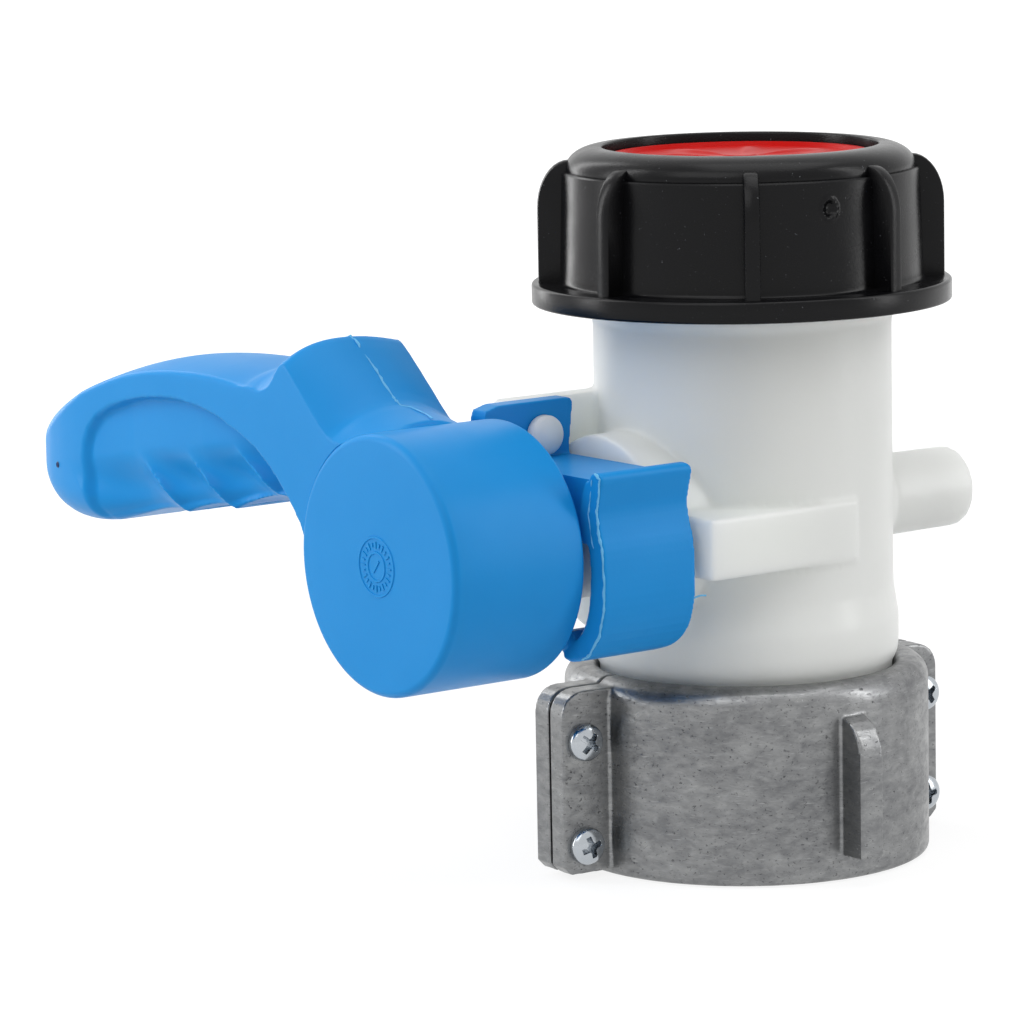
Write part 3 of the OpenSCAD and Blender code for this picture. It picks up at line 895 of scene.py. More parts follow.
def smooth_read(x: float, line: np.ndarray) -> float:
    """Reads a line of (place, value) points smoothly.

    Args:
        x: the place.
        line: the points in rising order of place.

    Returns:
        The value there on a monotone cubic through the points.
    """
    xs, ys = line[:, 0], line[:, 1]
    slopes = np.gradient(ys, xs)
    i = int(np.clip(np.searchsorted(xs, x) - 1, 0, len(xs) - 2))
    h = xs[i + 1] - xs[i]
    t = float(np.clip((x - xs[i]) / h, 0, 1))
    return float(
        (2 * t**3 - 3 * t**2 + 1) * ys[i]
        + (t**3 - 2 * t**2 + t) * h * slopes[i]
        + (-2 * t**3 + 3 * t**2) * ys[i + 1]
        + (t**3 - t**2) * h * slopes[i + 1]
    )


def soften(line: np.ndarray) -> np.ndarray:
    """Puts two more points between each pair, on a smooth curve through them all.

    Args:
        line: points (x, z).

    Returns:
        The finer line.
    """
    places = np.arange(len(line), dtype=float)
    fine = np.linspace(0, len(line) - 1, 3 * (len(line) - 1) + 1)
    columns = [
        [smooth_read(float(t), np.column_stack([places, line[:, k]])) for t in fine] for k in (0, 1)
    ]
    return np.array(columns).T


def join(name: str, parts: list[bpy.types.Object]) -> bpy.types.Object:
    """Joins objects into one mesh.

    Args:
        name: the new object's name.
        parts: the objects, which are used up.

    Returns:
        The joined object.
    """
    work = bmesh.new()
    for part in parts:
        work.from_mesh(part.data)
        bpy.data.objects.remove(part)
    mesh = bpy.data.meshes.new(name)
    work.to_mesh(mesh)
    work.free()
    made = bpy.data.objects.new(name, mesh)
    bpy.context.scene.collection.objects.link(made)
    return made


# Sub-assemblies


@dataclass
class FlowTube:
    """Upright flow tube with the stem's boss, neck and far stub."""

    body: str = "tap_body"
    voxel: float = 0.56
    rounds: int = 5
    tube_r: float = 28.0
    mark_r: float = 2.2
    mark_deg: float = 7.2
    mark_z: float = 92.8
    mark_height: float = 0.1
    mark_width: float = 0.4

    def pin_mark(self, tube: bpy.types.Object) -> None:
        """Raises the faint round mark that an ejector pin left on the tube.

        Args:
            tube: the tube's piece.
        """
        mesh = tube.data
        skin_band = 0.3
        flat = np.empty(len(mesh.vertices) * 3, dtype=np.float32)
        mesh.vertices.foreach_get("co", flat)
        points = flat.reshape(-1, 3) / MM
        angle = np.arctan2(points[:, 1], points[:, 0])
        radius = np.hypot(points[:, 0], points[:, 1])
        around = (angle - math.radians(self.mark_deg)) * self.tube_r
        away = np.hypot(around, points[:, 2] - self.mark_z)
        rise = self.mark_height * np.exp(-(((away - self.mark_r) / self.mark_width) ** 2))
        rise = rise * (np.abs(radius - self.tube_r) < skin_band)
        points[:, 0] += rise * np.cos(angle)
        points[:, 1] += rise * np.sin(angle)
        mesh.vertices.foreach_set("co", (points * MM).astype(np.float32).ravel())

    def build(self) -> None:
        """Makes the tube's skin and dresses the small parts that stay on it."""
        tube = eased_copy("valve_body", "tube_skin", self.voxel, self.rounds)
        self.pin_mark(tube)
        dress(tube, NATURAL_PE, self.body, "valve_body")
        dress_solids(
            {
                "stem_gland": NATURAL_PE,
                "stem_thrust_washer": NITRILE,
                "latch_pin": NATURAL_PE,
                "tank_gasket": NITRILE,
            }
        )


@dataclass
class ShutOff:
    """Stem, disc and their seals inside the tube."""

    def build(self) -> None:
        """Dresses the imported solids, which keep their own shapes."""
        dress_solids(
            {
                "stem": FILLED_PP,
                "shut_off_disc": NATURAL_PE,
                "disc_seal": NITRILE,
                "stem_o_rings": NITRILE,
                "handle_screw": ZINC_STEEL,
                "screw_washer": ZINC_STEEL,
            }
        )


@dataclass
class ClampRing:
    """Two cast halves, their screws and the tank thread."""

    body: str = "clamp"
    clock_deg: float = -5.0
    bore_r: float = 31.0
    thread_depth: float = 1.5
    thread_pitch: float = 6.0
    thread_low: float = 3.0
    thread_turns: float = 2.2
    thread_run_in: float = 10 / 96
    voxel: float = 0.3
    rounds: int = 2
    screw_x: float = 4.85
    screw_ys: tuple[float, float] = (-39.7, 37.6)
    screw_zs: tuple[float, float] = (6.4, 26.0)
    head_r: float = 3.5
    head_h: float = 2.3
    rim_h: float = 0.7
    recess: float = 1.7
    clocks_deg: tuple[float, ...] = (20.0, 52.0, 8.0, 37.0)
    shank_r: float = 2.0
    shank_l: float = 8.6

    def half(self, node: str, name: str) -> None:
        """Makes one cast half with eased edges."""
        dress(eased_copy(node, name, self.voxel, self.rounds), CAST_ALUMINIUM, self.body, node)

    def ridge(self, turns: float) -> Outline:
        """Gives the tank thread's section, which grows at its start and dies away at its end.

        Args:
            turns: number of turns from its start.

        Returns:
            Points (radius, height), with the foot sunk into the wall.
        """
        foot, foot_half, crest_half, least_rise = self.bore_r + 0.3, 1.9, 0.7, 0.02
        rise = min(1.0, turns / self.thread_run_in, (self.thread_turns - turns) / self.thread_run_in)
        crest = self.bore_r - self.thread_depth * max(rise, least_rise)
        return [(foot, -foot_half), (crest, -crest_half), (crest, crest_half), (foot, foot_half)]

    def thread(self) -> None:
        """Makes the tank thread's ridge inside the bore."""
        draft = Draft("tank_thread").thread(self.thread_low, self.thread_pitch, self.thread_turns, self.ridge)
        dress(draft.piece(), CAST_ALUMINIUM, self.body)

    def screw_heads(self) -> None:
        """Makes the four pan-head screws with their cross recesses."""
        draft = Draft("ear_screws")
        turn = Matrix.Rotation(math.radians(self.clock_deg), 4, "Z")
        clocks = iter(self.clocks_deg)
        for y in self.screw_ys:
            for z in self.screw_zs:
                self.screw(draft, turn @ placing(Axis.OUT, (self.screw_x, y, z)), next(clocks))
        dress(draft.piece(40.0), ZINC_STEEL, self.body, "clamp_screws")

    def screw(self, draft: Draft, place: Matrix, clock_deg: float) -> None:
        """Adds one screw: its shank, and a domed head sunk by a cross.

        Args:
            draft: the mesh that it goes into.
            place: placement with +Z out of the ear.
            clock_deg: angle of the cross.
        """
        clock = math.radians(clock_deg)
        rings, turns, top_share = 44, 192, 0.985
        rows = []
        for i in range(turns):
            a = 2 * math.pi * i / turns
            row = [(0.0, 0.0, -self.shank_l), (self.shank_r, a, -self.shank_l), (self.shank_r, a, 0.0)]
            row += [(self.head_r, a, 0.0), (self.head_r, a, self.rim_h)]
            for k in range(rings, -1, -1):
                r = self.head_r * top_share * k / rings
                row.append((r, a, self.head_top(r, a - clock)))
            rows.append([(r * math.cos(b), r * math.sin(b), h) for r, b, h in row])
        draft.grid(rows, place, wrap_rows=True, wrap_columns=False)

    def head_top(self, r: float, angle: float) -> float:
        """Height of the head's top: a dome less a tapered cross recess.

        Args:
            r: distance from the screw's axis.
            angle: angle from one arm of the cross, in radians.

        Returns:
            Height above the seat.
        """
        arm_half, arm_taper, arm_reach, reach_taper, core_r, core_taper = 0.54, 0.14, 2.1, 0.5, 1.0, 0.3
        dome_power = 2.2
        inward = max(0.0, 1 - (r / self.head_r) ** dome_power)
        dome = self.rim_h + (self.head_h - self.rim_h) * math.sqrt(inward)
        across = min(abs(r * math.sin(angle)), abs(r * math.cos(angle)))
        along = max(abs(r * math.sin(angle)), abs(r * math.cos(angle)))
        arm = min(1.0, max(0.0, (arm_half - across) / arm_taper))
        arm *= min(1.0, max(0.0, (arm_reach - along) / reach_taper))
        core = min(1.0, max(0.0, (core_r - r) / core_taper))
        return dome - self.recess * max(arm, core)

    def build(self) -> None:
        """Makes the ring's pieces."""
        self.half("clamp_half_front", "ring_half_front")
        self.half("clamp_half_rear", "ring_half_rear")
        self.thread()
        self.screw_heads()


@dataclass
class ScrewCap:
    """Black cap, and the red blanking disc with its gasket."""

    low: float = 104.8
    high: float = 134.0
    flange_r: float = 39.3
    flange_t: float = 4.0
    barrel_r: float = 33.5
    dome_h: float = 4.4
    hole_r: float = 25.8
    lip_t: float = 2.4
    thread_r: float = 30.2
    crest_r: float = 28.5
    thread_low: float = 3.0
    thread_pitch: float = 6.0
    thread_turns: float = 2.44
    rib_r: float = 38.0
    rib_t: float = 2.8
    rib_count: int = 8
    rib_clock: float = 8.7
    gate_deg: float = -10.8
    gate_z: float = 124.4
    disc_z: float = 129.45
    disc_t: float = 2.1

    def profile(self) -> list[tuple[float, float]]:
        """Gives the cap's half section, down the bore and round the outside to the hole's edge.

        Returns:
            Points (radius, height).
        """
        lower_edge, upper_edge, foot, lip_edge = 0.5, 0.6, 0.8, 0.4
        flange_top, step_z = self.low + self.flange_t, self.high - self.dome_h
        foot_r, wall_taper, wall_steps = self.barrel_r + 0.5, 0.6, 84
        start, top = flange_top + foot, step_z - 0.35
        dome_run, dome_foot = 6.0, 0.4
        points = [
            (self.thread_r, self.high - self.lip_t),
            (self.thread_r, self.low + 1.2),
            (self.thread_r + 0.9, self.low),
        ]
        points += arc((self.flange_r - lower_edge, self.low + lower_edge), lower_edge, -90, 0, 4)
        points += arc((self.flange_r - upper_edge, flange_top - upper_edge), upper_edge, 0, 90, 4)
        points += arc((foot_r + foot, flange_top + foot), foot, 270, 180, 4)
        points += [
            (foot_r - wall_taper * k / wall_steps, start + (top - start) * k / wall_steps)
            for k in range(1, wall_steps + 1)
        ]
        points += [(self.barrel_r - 0.35, step_z - 0.05), (self.barrel_r - 0.95, step_z)]
        dome_centre = (self.barrel_r - 6.9, step_z + dome_foot)
        points += arc(dome_centre, dome_run, 0, 90, 14, self.dome_h - dome_foot)
        points += arc((self.hole_r + lip_edge, self.high - lip_edge), lip_edge, 90, 180, 4)
        return [*points, (self.hole_r, self.high - self.lip_t)]

    def gate_mark(self, angle: float, r: float, z: float) -> tuple[float, float]:
        """Sinks the mould's gate mark into the barrel.

        Args:
            angle: angle round the cap, in radians.
            r: radius before.
            z: height.

        Returns:
            The changed radius and the height.
        """
        if r < self.barrel_r - 0.6:
            return r, z
        oval, pit_depth, pit_r, lip_height, lip_r, lip_width = 1.25, 0.8, 1.25, 0.28, 1.9, 0.4
        across = (angle - math.radians(self.gate_deg) + math.pi) % (2 * math.pi) - math.pi
        far = math.hypot(across * self.barrel_r * oval, z - self.gate_z)
        uneven = noise.noise(Vector((across * 40, z * 1.3, 0.5)))
        pit = pit_depth * math.exp(-((far / pit_r) ** 4)) * (1 + 0.25 * uneven)
        lip = lip_height * math.exp(-(((far - lip_r) / lip_width) ** 2)) * (1 + 0.5 * uneven)
        return r - pit + lip, z

    def ribs(self) -> Draft:
        """Makes every grip rib, with eased edges.

        Returns:
            The mesh in the making.
        """
        draft = Draft("cap_ribs")
        top, foot = self.high - 2.4, self.low + self.flange_t - 1.0
        round_x, round_z, ease = 6.0, 9.0, 0.5
        inner_x, half = self.barrel_r - 2.2, self.rib_t / 2
        outer = [(self.rib_r, foot)]
        outer += arc((self.rib_r - round_x, top - round_z), round_x, 0, 90, 10, round_z)
        outer += [(inner_x, top)]
        middle = Vector((inner_x, top - 12))
        for i in range(self.rib_count):
            turn = Matrix.Rotation(math.radians(self.rib_clock + 360 * i / self.rib_count), 4, "Z")
            rows = []
            for y, inset in (
                (-half, ease),
                (-half + ease * 0.3, ease * 0.3),
                (-half + ease, 0.0),
                (half - ease, 0.0),
                (half - ease * 0.3, ease * 0.3),
                (half, ease),
            ):
                row = []
                for x, z in outer:
                    out = (Vector((x, z)) - middle).normalized()
                    row.append((x - inset * out.x, y, z - inset * out.y))
                row.append((inner_x, y, foot))
                rows.append(row)
            draft.grid(rows, turn, caps=True)
        return draft

    def build(self) -> None:
        """Makes the cap, its disc and the thread inside."""
        shell = Draft("cap_shell").lathe(self.profile(), placing(Axis.UP), steps=720, shift=self.gate_mark)
        dress(shell.piece(28.0), BLACK_PP, "cap", "cap_nut")
        dress(self.ribs().piece(30.0), BLACK_PP, "cap")
        dress(self.thread().piece(), BLACK_PP, "cap")
        dress(self.disc().piece(30.0), RED_PE, "closure", "blanking_disc")
        dress_solids({"cap_gasket": NITRILE})

    def thread(self) -> Draft:
        """Makes the ridge of the cap's thread.

        Returns:
            The mesh in the making.
        """
        foot = self.thread_r + 0.5
        section = [(self.crest_r, -0.7), (foot, -1.7), (foot, 1.7), (self.crest_r, 0.7)]
        low = self.low + self.thread_low
        return Draft("cap_thread").thread(low, self.thread_pitch, self.thread_turns, lambda _: section)

    def disc(self) -> Draft:
        """Makes the blanking disc with a raised rim, soft spokes and a centre gate.

        Returns:
            The mesh in the making.
        """
        spoke_count, spoke_start, spoke_height = 8, 3.3, 0.6
        rim = self.hole_r - 1.2
        top = self.disc_z + self.disc_t
        profile = [(0.0, self.disc_z), (self.thread_r - 0.3, self.disc_z), (self.thread_r - 0.3, top)]
        profile += [(rim + 0.2, top), *arc((rim - 0.3, top + 0.5), 0.3, 0, 90, 4)]
        profile += [(rim - 1.6, top + 0.8), (rim - 2.2, top + 0.1)]
        profile += [(r, top) for r in np.linspace(rim - 3.0, 3.6, 24)]
        profile += [(3.0, top + 0.5), (0.0, top + 0.6)]

        def spokes(angle: float, r: float, z: float) -> tuple[float, float]:
            """Lifts soft spokes on the disc's face.

            Args:
                angle: angle round the disc, in radians.
                r: radius.
                z: height before.

            Returns:
                The radius and the changed height.
            """
            if z < top - 0.01 or r > rim - 2.0 or r < spoke_start:
                return r, z
            wave = max(0.0, math.cos(spoke_count * angle)) ** 3
            along = (r - spoke_start) / (rim - 2.0 - spoke_start)
            return r, z + spoke_height * wave * math.sin(math.pi * along)

        return Draft("red_disc").lathe(profile, placing(Axis.UP), closed=False, shift=spokes)


@dataclass
class Lever:
    """Blue lever: hub, arm and grip, with the cover on the hub's front.

    The lines give a height from the stem's axis, or a half width, for each place along X.
    """

    body: str = "lever"
    voxel: float = 0.36
    rounds: int = 2
    stem_z: float = 64.0
    hub_r: float = 23.8
    hub_rear: float = 56.2
    hub_front: float = 85.3
    cover_t: float = 2.4
    hub_edge: float = 1.4
    web_t: float = 3.0
    bearing_r: float = 10.0
    bearing_gap: float = 6.0
    wall: float = 3.2
    square: float = 9.9
    half_w: float = 13.5
    pocket: tuple[float, float, float, float] = (14.0, -15.2, 2.1, 1.5)
    crest_line: Outline = (
        (-123.4, 9.0), (-123.1, 11.2), (-122.2, 13.2), (-120.6, 14.9), (-118.0, 16.5), (-114.0, 18.4),
        (-109.0, 20.3), (-104.5, 21.8), (-98.0, 24.0), (-92.0, 26.1), (-85.0, 28.2), (-78.0, 29.7),
        (-68.0, 30.9), (-56.0, 31.3), (-46.0, 31.0), (-34.0, 30.6), (-22.0, 22.0),
    )
    edge_line: Outline = (
        (-123.4, 8.6), (-123.1, 10.2), (-122.2, 11.6), (-120.6, 12.9), (-118.0, 14.2), (-114.0, 15.9),
        (-109.0, 18.1), (-104.5, 20.0), (-98.0, 22.6), (-92.0, 24.6), (-85.0, 26.6), (-78.0, 28.0),
        (-68.0, 29.1), (-56.0, 29.5), (-46.0, 28.9), (-34.0, 27.6), (-22.0, 20.0),
    )
    low_line: Outline = (
        (-123.4, 7.6), (-123.1, 5.2), (-122.2, 3.0), (-120.6, 0.8), (-118.0, -1.1), (-114.0, -2.8),
        (-109.0, -3.9), (-103.0, -4.2), (-97.0, -3.7), (-90.0, -2.6), (-78.0, -0.2), (-66.0, 1.4),
        (-56.0, 3.0), (-46.0, 5.2), (-34.0, 8.6), (-22.0, 8.0),
    )
    width_line: Outline = (
        (-123.4, 1.2), (-123.2, 3.4), (-122.4, 5.8), (-120.8, 8.0), (-118.0, 10.2), (-114.0, 11.9),
        (-109.0, 12.9), (-103.0, 13.4), (-97.0, 13.5), (-60.0, 13.5), (-22.0, 13.5),
    )
    panel_line: Outline = (
        (-97.0, -12.0), (-98.8, -4.0), (-99.7, 3.0), (-99.8, 8.8), (-99.2, 12.2), (-97.3, 15.4),
        (-94.1, 18.0), (-89.0, 20.1), (-83.2, 21.7), (-77.5, 22.8), (-71.9, 23.4), (-65.0, 23.6),
        (-58.2, 23.0), (-52.2, 21.8), (-44.9, 19.6), (-39.1, 17.2), (-34.7, 14.3), (-31.5, 11.7),
        (-28.4, 8.7), (-25.1, 4.7), (-22.0, -1.0),
    )
    near_edge: Outline = (
        (-4.0, 19.0), (-9.0, 20.4), (-12.6, 21.0), (-15.8, 21.8), (-22.0, 27.2), (-28.3, 33.1),
        (-30.7, 33.2), (-32.4, 31.4), (-34.7, 29.0), (-38.0, 27.9), (-41.5, 28.4), (-49.0, 27.6),
    )
    far_edge: Outline = (
        (-4.0, 19.6), (-9.0, 21.0), (-12.2, 21.7), (-14.8, 22.6), (-22.0, 29.1), (-29.2, 35.2),
        (-31.4, 35.1), (-33.0, 33.4), (-35.4, 31.0), (-38.6, 29.4), (-42.0, 29.0), (-49.0, 27.6),
    )
    crest_edge: Outline = (
        (-4.0, 24.4), (-8.0, 25.0), (-12.0, 25.9), (-15.4, 27.0), (-21.2, 31.9), (-27.9, 37.0),
        (-30.4, 37.2), (-33.0, 35.4), (-36.2, 33.2), (-39.4, 32.1), (-43.0, 31.4), (-49.0, 29.4),
    )
    under_edge: Outline = (
        (-49.0, 20.8), (-44.9, 19.6), (-39.1, 17.2), (-34.7, 14.3), (-31.5, 11.7), (-28.4, 8.7),
        (-25.1, 4.7), (-22.6, 0.0), (-19.0, -4.0), (-4.0, -4.0),
    )
    panel_depth: float = 2.3
    scallop: float = 4.3
    scallop_pitch: float = 16.2
    scallop_start: float = -36.1

    @property
    def mid_y(self) -> float:
        """Distance of the grip's middle plane from the flow axis."""
        return (self.hub_rear + self.hub_front) / 2

    def at_grip(self) -> Matrix:
        """Placement of the grip's own frame: x along it, y across, z up."""
        return Matrix.Translation(Vector((0, -self.mid_y, self.stem_z)))

    def at_stem(self) -> Matrix:
        """Placement of the hub's own frame, with +Z out of its front."""
        return placing(Axis.HUB, (0, 0, self.stem_z))

    def section(self, x: float) -> np.ndarray:
        """Gives one section of the grip: flat flanks, tight upper edges and a crowned top.

        Args:
            x: place along the grip.

        Returns:
            Points (y, z) from the bottom's middle round the +Y side and back.
        """
        lines = (self.crest_line, self.edge_line, self.low_line, self.width_line)
        crest, edge, low, wide = (smooth_read(x, np.array(line)) for line in lines)
        low_steps, corner_steps, flank_steps, edge_steps, crown_steps = 12, 28, 46, 8, 26
        end = float(np.clip((-100 - x) / 20, 0, 1))
        top_r = min(0.45 * wide, 1.3 + 3.2 * end, 0.45 * (edge - low))
        low_r = min(0.9 * wide, 7.0, 0.62 * (edge - low))
        half = [(float(y), low) for y in np.linspace(0, wide - low_r, low_steps, endpoint=False)]
        half += arc((wide - low_r, low + low_r), low_r, -90, 0, corner_steps)
        half += [(wide, z) for z in np.linspace(low + low_r, edge - top_r, flank_steps)[1:]]
        half += arc((wide - top_r, edge - top_r), top_r, 0, 70, edge_steps)[1:]
        start_y, start_z = half[-1]
        for t in np.linspace(0, 1, crown_steps)[1:]:
            half.append((start_y * (1 - t), start_z + (crest - start_z) * (1 - (1 - t) ** 2)))
        right = np.array(half)
        left = right[-2:0:-1] * np.array((-1.0, 1.0))
        return np.vstack([right, left])

    def panel_share(self, x: np.ndarray, z: np.ndarray) -> np.ndarray:
        """How far points lie inside the flank's panel.

        Args:
            x: places along the grip.
            z: heights from the stem's axis.

        Returns:
            0 outside to 1 where the panel has its full depth.
        """
        line = np.array(self.panel_line)
        far = np.full(x.shape, 1e9)
        for a, b in zip(line[:-1], line[1:], strict=True):
            along = b - a
            t = np.clip(((x - a[0]) * along[0] + (z - a[1]) * along[1]) / along.dot(along), 0, 1)
            far = np.minimum(far, np.hypot(x - a[0] - t * along[0], z - a[1] - t * along[1]))
        left = line[:10]
        left_x = np.interp(z, left[:7, 1], left[:7, 0])
        top = np.interp(x, line[3:, 0], line[3:, 1])
        inside = (x > left_x) & (z < top)
        soft = np.interp(x, (-99, -92, -80), (2.6, 1.5, 0.7))
        share = np.clip((np.where(inside, far, -far) + 0.15) / soft, 0, 1)
        return share * share * (3 - 2 * share)

    def scallop_share(self, x: np.ndarray, across: np.ndarray, height: np.ndarray) -> np.ndarray:
        """How deep the finger scallops are, with slanted ridges between them.

        Args:
            x: places along the grip.
            across: distances from its middle plane.
            height: heights above the grip's underside.

        Returns:
            0 on a ridge to 1 in the middle of a scallop.
        """
        lean, lean_power, turn_in_rate, turn_in_at = 2.9, 0.68, 1.33, 9.25
        scoop_power, last_depth, fade_from, fade_over = 0.62, 0.75, 5.0, 8.5
        slant = lean * np.clip(height, 0, None) ** lean_power
        turn_in = turn_in_rate * (turn_in_at - np.clip(across, 6.5, 12.0))
        phase = (x + slant + turn_in - self.scallop_start) / -self.scallop_pitch
        full = np.abs(np.sin(np.pi * phase)) ** scoop_power
        last = np.sin(np.pi * np.clip((phase - 2) / 1.5, 0, 1) ** 0.75)
        share = np.where(phase > 2, last_depth * last, full)
        share = np.where(phase < -0.9, 0.0, share)
        fade = np.clip(1 - (height - fade_from) / fade_over, 0, 1)
        return share * fade * fade * (3 - 2 * fade)

    def grip(self) -> bpy.types.Object:
        """Makes the grip as a loft, with its flanks sunk to panels and its underside scalloped.

        Returns:
            The grip's object.
        """
        tip, root, end = self.crest_line[0][0], self.crest_line[-1][0], -118.0
        length_steps, tip_steps = 300, 40
        rounding = end + (tip - end) * np.sin(np.linspace(0, math.pi / 2, tip_steps))
        stations = np.concatenate([np.linspace(root, end, length_steps), rounding[1:]])
        loops = np.array([self.section(float(x)) for x in stations])
        x = np.repeat(stations[:, None], loops.shape[1], axis=1)
        y, z = loops[..., 0].copy(), loops[..., 1].copy()
        low = z.min(axis=1, keepdims=True)
        wide = np.abs(y).max(axis=1, keepdims=True)
        # Only the flanks sink, less near the tip and more towards the arm
        flank = np.clip((np.abs(y) / wide - 0.5) / 0.3, 0, 1)
        deep = self.panel_depth * np.interp(x, (-99, -84), (0.6, 1.0)) + np.interp(x, (-60, -36), (0.0, 1.6))
        panel = deep * self.panel_share(x, z) * flank
        sunk = self.scallop * self.scallop_share(x, np.abs(y) - panel, z - low)
        side = np.clip(np.abs(y) / wide, 0, 1) ** 2
        y = np.sign(y) * np.maximum(np.abs(y) - panel - sunk * side, 0)
        z = z + sunk * 0.32 * np.clip(1 - (z - low) / 5, 0, 1)
        rows = np.stack([x, y, z], axis=2).tolist()
        return Draft("grip_loft").grid(rows, self.at_grip(), caps=True).piece()

    def arm(self) -> bpy.types.Object:
        """Makes the arm with its crowned top, from the hub to the grip's crest.

        Returns:
            The arm's object.
        """
        slices, crown_power = 37, 2.2
        near, far, crest = (np.array(line) for line in (self.near_edge, self.far_edge, self.crest_edge))
        under = [(float(x), float(z)) for x, z in self.under_edge]
        rows = []
        for y in np.linspace(-self.half_w, self.half_w, slices):
            share = (y + self.half_w) / (2 * self.half_w)
            edge = near * (1 - share) + far * share
            crown = 1 - abs(y / self.half_w) ** crown_power
            top = edge + (crest - edge) * crown
            row = [(float(p[0]), float(y), float(p[1])) for p in soften(top)]
            row += [(x, float(y), z) for x, z in under]
            rows.append(row)
        return Draft("arm_block").grid(rows, self.at_grip(), caps=True).piece()

    def core(self) -> bpy.types.Object:
        """Makes the disc under the hub's barrel that the arm and grip grow from.

        Returns:
            The disc's object.
        """
        core_r, sides = self.hub_r - 0.12, 128
        turns = np.linspace(0, 2 * math.pi, sides, endpoint=False)
        ring = [(core_r * math.cos(a), core_r * math.sin(a)) for a in turns]
        front = self.hub_front - self.cover_t - 0.3
        return Draft("hub_core").prism(ring, self.hub_rear + 1.2, front, self.at_stem()).piece()

    def body_skin(self) -> bpy.types.Object:
        """Fuses grip, arm and core, and bores the hub's place out of them.

        Returns:
            The fused object.
        """
        fused = join("lever_grip", [self.grip(), self.arm(), self.core()])
        fuse(fused, self.voxel, self.rounds)
        inner, step = self.hub_r - 1.6, self.hub_front - self.cover_t + 0.1
        tool = [(0, self.hub_rear - 2), (inner, self.hub_rear - 2), (inner, step), (self.hub_r + 0.04, step)]
        tool += [(self.hub_r + 0.04, self.hub_front + 2), (0, self.hub_front + 2)]
        bore = Draft("grip_bore").lathe(tool, self.at_stem(), steps=192, closed=False).piece()
        cut_away(fused, bore)
        return fused

    def hub(self) -> bpy.types.Object:
        """Makes the hub: barrel with an eased rear edge, web, bearing core and lock pocket.

        Returns:
            The hub's object.
        """
        rear, front = self.hub_rear, self.hub_front - self.cover_t
        inner, ease = self.hub_r - self.wall, 1.0
        profile = [(0.0, rear), (self.hub_r - ease, rear)]
        profile += arc((self.hub_r - ease, rear + ease), ease, -90, 0, 5)
        profile += [(self.hub_r, front), (inner, front), (inner, rear + self.web_t)]
        seat = front - self.bearing_gap
        profile += [(self.bearing_r, rear + self.web_t), (self.bearing_r, seat), (0.0, seat)]
        barrel = Draft("hub_barrel").lathe(profile, self.at_stem(), steps=256, closed=False).piece(28.0)
        x, z, r, deep = self.pocket
        half = self.square / 2
        square = [(-half, -half), (half, -half), (half, half), (-half, half)]
        cut_away(barrel, Draft("hub_square").prism(square, rear - 1, seat + 1, self.at_stem()).piece())
        ring = arc((x, z), r, 0, 337.5, 15)
        cut_away(barrel, Draft("hub_pocket").prism(ring, rear - 1, rear + deep, self.at_stem()).piece())
        barrel.data.shade_smooth()
        barrel.data.set_sharp_from_angle(angle=math.radians(28))
        return barrel

    def cover(self) -> Draft:
        """Makes the hub's cover with a plain dial of rings and ticks moulded on its face.

        Returns:
            The mesh in the making.
        """
        back, front = self.hub_front - self.cover_t, self.hub_front
        face, edge = front - 0.2, self.hub_edge
        profile = [(0.0, back), (self.hub_r, back)]
        profile += arc((self.hub_r - edge, face - edge), edge, 0, 90, 12)
        profile += [(r, face) for r in (18.0, 12.0, 8.0)]
        profile += self.raised(5.5, 5.15, front) + self.raised(2.75, 2.4, front)
        profile += [(0.0, face)]
        draft = Draft("hub_cover_face").lathe(profile, self.at_stem(), steps=256, closed=False)
        tick_count, tick_r, long_tick, short_tick, tick_half = 24, 3.95, 0.62, 0.4, 0.15
        bar_length, bar_half, bar_clock = 1.4, 0.2, 0.9
        marks = [
            (2 * math.pi * i / tick_count, tick_r, short_tick if i % 2 else long_tick, tick_half)
            for i in range(tick_count)
        ]
        for clock, middle, reach, half in [*marks, (bar_clock, 0.0, bar_length, bar_half)]:
            ends = (middle - reach, middle + reach)
            outline = [(ends[0], -half), (ends[1], -half), (ends[1], half), (ends[0], half)]
            draft.prism(outline, front - 0.4, front - 0.02, self.at_stem() @ Matrix.Rotation(clock, 4, "Z"))
        return draft

    def raised(self, outer: float, inner: float, front: float) -> list[tuple[float, float]]:
        """Profile of one fine raised ring on the cover's face."""
        low = front - 0.2
        return [(outer + 0.1, low), (outer, front), (inner, front), (inner - 0.1, low)]

    def flash(self) -> Draft:
        """Makes the thin skin that the mould squeezed out along its parting lines.

        Returns:
            The mesh in the making.
        """
        draft = Draft("lever_flash")
        crest = soften(np.array(self.crest_edge))[7:21][::-1]
        seam = [self.at_grip() @ Vector((float(x), 1.6, float(z) - 0.02)) for x, z in crest]
        path = rough_path(seam, steps=3, wander=0.25, seed=5.0)
        path += [Vector(p) for p in ((-12.2, -68.0, 89.9), (-8.0, -67.6, 89.0), (-4.4, -68.9, 88.7))]
        draft.sweep(path, [0.1 + 0.42 * abs(noise.noise(p * 0.9)) for p in path], sides=5)
        chip = Vector((18.9, -84.5, self.stem_z + 10.4))
        path = rough_line(chip, chip + Vector((1.1, -0.1, 0.0)), steps=4, wander=0.1, seed=2.0)
        draft.sweep(path, [0.12] * len(path))
        for x in (-52.8, -69.2):
            ridge = [Vector((x - 0.6, y, self.low_at(x) + 0.35)) for y in np.linspace(-5, 2, 8)]
            path = [self.at_grip() @ (p + 0.15 * noise.noise_vector(p)) for p in ridge]
            draft.sweep(path, [0.1] * len(path))
        return draft

    def low_at(self, x: float) -> float:
        """Height of the grip's underside at a place along it."""
        return smooth_read(x, np.array(self.low_line))

